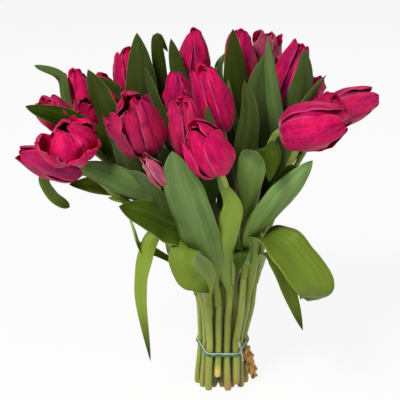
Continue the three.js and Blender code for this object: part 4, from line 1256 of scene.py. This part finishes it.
# %% The grid of a leaf
def leaf_grid(tulip, leaf, draw):
    height, points, width, faces, fold, _ = leaf
    root = stem_points(tulip, stem_share(tulip, height))[0]
    knots = np.vstack([root, points])
    length = np.linalg.norm(np.diff(knots, axis=0), axis=1).sum()
    rows = max(LEAST_ROWS, round(length / LEAF_STEP))
    s = np.linspace(-SHEATH, 1, rows)
    line = through(knots, np.clip(s, 0, 1))
    below = stem_points(tulip, stem_share(tulip, height + s * length))
    line = np.where((s < 0)[:, None], below, line)
    for other in tulips.values():
        if other is not tulip:
            line = line + clear_of_bloom(line, other) * smooth(0.05, 0.3, s)[:, None]
    along = unit(np.gradient(line, axis=0))
    ways = faces if np.ndim(faces) == 2 else [faces, faces]
    across = unit(np.cross(through(ways, np.clip(s, 0, 1)), along))
    up = np.cross(along, across)

    half = 0.5 * width * leaf_outline(s, (tulip.name, height) in BLUNT_LEAVES)
    half = np.maximum(half, CLASP * (1 - smooth(-0.02, 0.16, s)))
    hug = STEM_RADIUS + 0.4 - 0.7 * smooth(0.0, -SHEATH, s)
    bend = hug + OPENED * smooth(0.0, 0.5, s) ** 2
    tilt = np.radians(fold) * smooth(0.05, 0.3, s) * (1 - 0.5 * np.clip(s, 0, 1))
    t = np.linspace(-1, 1, LEAF_COLUMNS)
    theta = t * (half / bend)[:, None]
    sideways = bend[:, None] * np.sin(theta) * np.cos(tilt)[:, None]
    raised = bend[:, None] * (1 - np.cos(theta)) + np.abs(t) * (half * np.sin(tilt))[:, None]
    phase = draw.uniform(0, 1, 4)
    beat = length / WAVE_LENGTH
    side = np.sign(t) * MARGINS_APART
    wave = np.sin(2 * np.pi * (beat * s[:, None] + phase[0] + side))
    wave = wave + 0.5 * np.sin(2 * np.pi * (1.9 * beat * s[:, None] + phase[1] - side))
    raised = raised + WAVE_HEIGHT * (half * smooth(0.1, 0.4, s))[:, None] * t ** 2 * wave
    raised = raised - RIB_DEPTH * np.exp(-(t / RIB_WIDTH) ** 2) * smooth(0.05, 0.3, s)[:, None]
    sunk = -(hug * (1 - smooth(0.0, 0.22, s)))[:, None]
    middle = line[:, None] + across[:, None] * sideways[..., None] + up[:, None] * (raised + sunk)[..., None]
    return middle, s, t


# %% Foliage
def make_foliage(tulip):
    draw = np.random.default_rng(LEAF_SEED + tulip.order)
    sheets = Sheets()
    for leaf in LEAVES[tulip.name]:
        middle, s, t = leaf_grid(tulip, leaf, draw)
        s, t = np.meshgrid(s, t, indexing="ij")
        thickness = LEAF_THICKNESS * (1 - 0.6 * np.abs(t) ** 4) * (0.35 + 0.65 * smooth(-SHEATH, 0.1, s))
        thickness = thickness * (1 - 0.6 * smooth(0.8, 1, s))
        seed = draw.uniform(0, 1)
        sheets.add(middle[:, ::-1], thickness, "upper", along=s, across=t, seed=seed, tone=leaf[-1])
    mesh = sheets.mesh("foliage_" + tulip.name, leaf_paint)
    install("foliage_" + tulip.name, mesh, "leaf", "stem_" + tulip.name)


for tulip in tulips.values():
    if tulip.name in LEAVES:
        make_foliage(tulip)
print("tulips with leaves:", len(LEAVES))

# %% [markdown]
# ## Cords
# Two cords tie the bunch: a teal one and a thin white one just above it, with a knot and two loose
# ends. Each lies against the round of the outer stems and runs straight from one to the next. A
# cord is laid of strands that wind round its middle line, so the tree copies the line once for each
# strand and turns every copy about the line as it goes along.

# %% Twine
STRANDS = 3
STRAND_SIDES = 6


def twine_finish(name, colour, shade):
    skin = Skin(name, {"Roughness": 0.85, "Specular IOR Level": 0.15, "Sheen Weight": 0.15})
    fibre = skin.noise(1600.0, 2.0)
    mixed = skin.maths("MULTIPLY_ADD", skin.noise(160.0, 1.0), 0.6, skin.times(fibre, 0.4))
    return skin.finish(skin.coats(colour, (shade, skin.step(mixed, 0.4, 0.62))), fibre, 0.5, 0.0002)


def twine_tree():
    nodes, given = geometry_tree("twine", {
        "Strands": "Int", "Strand Radius": "Float", "Lay Radius": "Float", "Turns": "Float", "Rings": "Int",
        "Material": "Material"})
    line = nodes.add("GeometryNodeResampleCurve", {"Curve": given["Geometry"], "Count": given["Rings"]})
    copies = nodes.add("GeometryNodeDuplicateElements", {"Geometry": line, "Amount": given["Strands"]},
                       domain="SPLINE")
    spot = nodes.add("GeometryNodeSplineParameter").outputs["Factor"]
    start = nodes.maths("DIVIDE", copies.outputs["Duplicate Index"], given["Strands"])
    turn = nodes.times(nodes.maths("MULTIPLY_ADD", spot, given["Turns"], start), 2 * math.pi)
    ahead = nodes.add("GeometryNodeInputTangent")
    aside = nodes.add("GeometryNodeInputNormal")
    turned = nodes.add("ShaderNodeVectorRotate", {"Vector": aside, "Axis": ahead, "Angle": turn})
    offset = nodes.add("ShaderNodeVectorMath", {0: turned, "Scale": given["Lay Radius"]}, operation="SCALE")
    laid = nodes.add("GeometryNodeSetPosition", {"Geometry": copies, "Offset": offset})
    circle = nodes.add("GeometryNodeCurvePrimitiveCircle", {"Resolution": STRAND_SIDES,
                                                            "Radius": given["Strand Radius"]})
    strand = nodes.add("GeometryNodeCurveToMesh", {"Curve": laid, "Profile Curve": circle, "Fill Caps": True})
    return close_tree(nodes, strand, given["Material"])


twine = twine_tree()
twine_paints = {"teal": twine_finish("teal_twine", "2c8c80", "1c6258"),
                "white": twine_finish("white_twine", "d4d6c8", "a3a896")}
print("nodes in the twine tree:", len(twine.nodes))


def lay_cord(kind, part, lines, radius, closed=True):
    """Strands that together have the cord's radius."""
    name = "twine_" + kind + part
    turns, rings = LAY[kind + part]
    mesh = grow(path_object(lines, closed), twine, name, {
        "Strands": STRANDS, "Strand Radius": 0.5 * radius * MM, "Lay Radius": 0.5 * radius * MM,
        "Turns": float(turns), "Rings": rings, "Material": twine_paints[kind]})
    install(name, mesh, kind + "_cord", "cord_" + kind)


# %% Cords
# How often the strands wind round in each piece of cord, and its rings.
LAY = {"teal": (36, 620), "white": (44, 620), "white_knot": (8, 160), "white_ends": (5, 90)}
KNOT_TIGHTNESS = 0.8
TIE_POINTS = 180
END_POINTS = 40
KNOT_WAY = np.array([0.75, -0.66, 0.0])
KNOT_RADIUS = 1.9
KNOT_PLACE = [1.6, 1.2, 0]
KNOT_POINTS = 48
# The loose ends, from the knot: outwards, upwards and to the left of it. The first one turns back.
LOOSE_ENDS = [
    [[1.6, 1.2, 0], [2.6, 6, -0.5], [2.2, 11, -2], [2.6, 15, -3.2], [3.0, 14, -4.2], [2.6, 8, -3.4]],
    [[1.6, 1.2, 0], [3.4, -3, 1], [2.9, -10, 2.5]],
]


def tie_line(radius, lift):
    """The points of a cord round the outer stems, and the way outwards at each."""
    turns = np.radians(np.arange(TIE_POINTS) * 360 / TIE_POINTS)
    out = np.stack([np.cos(turns), np.sin(turns)], axis=-1)
    centres = np.array([slot_in_tie(tulip.place) for tulip in tulips.values()])
    outer = centres[np.argmax(out @ centres.T + 1e-7 * np.arange(len(centres)), axis=1)]
    reach = STEM_RADIUS + CLEAR + radius
    z = TIE_HEIGHT + TIE_SLOPE * (outer[:, 1] + reach * out[:, 1]) + lift
    flat = outer * spread(z)[:, None] + out * reach
    return np.column_stack([flat, z]), np.column_stack([out, np.zeros(len(out))])


teal_line, _ = tie_line(TEAL_RADIUS, 0)
lay_cord("teal", "", [teal_line], TEAL_RADIUS)

white_line, outwards = tie_line(WHITE_RADIUS, TEAL_RADIUS + WHITE_RADIUS + CLEAR)
knot = int(np.argmax(outwards @ KNOT_WAY))
out = outwards[knot]
aside = np.array([-out[1], out[0], 0.0])


def from_knot(points):
    return white_line[knot] + np.asarray(points, float) @ np.array([out, UP, aside])


turn = np.linspace(0, 2 * np.pi, KNOT_POINTS, endpoint=False)
trefoil = [-np.sin(3 * turn), np.cos(turn) - 2 * np.cos(2 * turn), np.sin(turn) + 2 * np.sin(2 * turn)]
trefoil = np.stack(trefoil, axis=-1) * (KNOT_RADIUS - 0.5 * WHITE_RADIUS) / 3
ends = [through(from_knot(points), np.linspace(0, 1, END_POINTS)) for points in LOOSE_ENDS]
lay_cord("white", "", [white_line], WHITE_RADIUS)
lay_cord("white", "_knot", [from_knot(trefoil + KNOT_PLACE)], KNOT_TIGHTNESS * WHITE_RADIUS)
lay_cord("white", "_ends", ends, WHITE_RADIUS, closed=False)
for line in (teal_line, white_line):
    print("cord round the tie:", round(np.linalg.norm(line - np.roll(line, 1, axis=0), axis=1).sum()), "mm")

# %% [markdown]
# ## Husk
# A dead leaf hangs from the tie at the right. It is thin, brown and crumpled: the same closed sheet
# as a leaf, pushed out of shape by a few waves that cross each other, with a torn margin.

# %% Husk
HUSK_LINE = [[25.2, -11, 43.5], [27.2, -12, 31], [30.4, -12.5, 18], [34.5, -12, 7]]
HUSK_FACES = [[0.7, -0.8, 0.1], [0.5, -0.8, 0.3]]
HUSK_WIDTH = 12
HUSK_THICKNESS = 0.5
HUSK_ROWS = 64
HUSK_COLUMNS = 22
HUSK_SEED = 7
HUSK_TEARS = [(0.12, 17, 2), (0.07, 43, -1), (0.06, 97, 0)]      # size, how many, and lean
HUSK_CUP = 1.6
HUSK_CRUMPLES = (0.8, 0.56, 0.4, 0.28)


def husk_finish():
    skin = Skin("dry_husk", {"Roughness": 0.7, "Specular IOR Level": 0.2})
    blotch = skin.noise(190.0, 4.0)
    fibre = skin.streaks(20.0, 3.0, seed=0.3)
    brown = skin.coats("c79c5c", ("9a6a30", skin.step(blotch, 0.4, 0.62)),
                       ("5c3413", skin.step(fibre, 0.5, 0.7, 0.6)))
    return skin.finish(brown, blotch, 0.6, 0.0006)


def make_husk():
    draw = np.random.default_rng(HUSK_SEED)
    s = np.linspace(0, 1, HUSK_ROWS)
    line = through(HUSK_LINE, s)
    along = unit(np.gradient(line, axis=0))
    across = unit(np.cross(through(HUSK_FACES, s), along))
    up = np.cross(along, across)
    s, t = np.meshgrid(s, np.linspace(-1, 1, HUSK_COLUMNS), indexing="ij")
    torn = 1.0
    for size, beat, lean in HUSK_TEARS:
        torn = torn + size * np.sin(beat * s + lean * np.sign(t))
    half = 0.5 * HUSK_WIDTH * np.clip(np.sin(np.pi * (0.06 + 0.88 * s)), 0.1, 1) ** 0.4 * torn
    crease = HUSK_CUP * t ** 2
    for size in HUSK_CRUMPLES:
        lean, beat, phase = draw.uniform(-4, 4), draw.uniform(9, 30), draw.uniform(0, 6)
        crease = crease + size * np.sin(beat * s + lean * t + phase) * smooth(0.0, 0.25, s)
    middle = line[:, None] + across[:, None] * (t * half)[..., None] + up[:, None] * crease[..., None]
    sheets = Sheets()
    sheets.add(middle, HUSK_THICKNESS, "front", along=s, across=t)
    mesh = sheets.mesh("husk_crumpled", husk_finish())
    install("husk_crumpled", mesh, "husk", "dry_husk")
    print("points in the husk:", len(mesh.vertices))


make_husk()
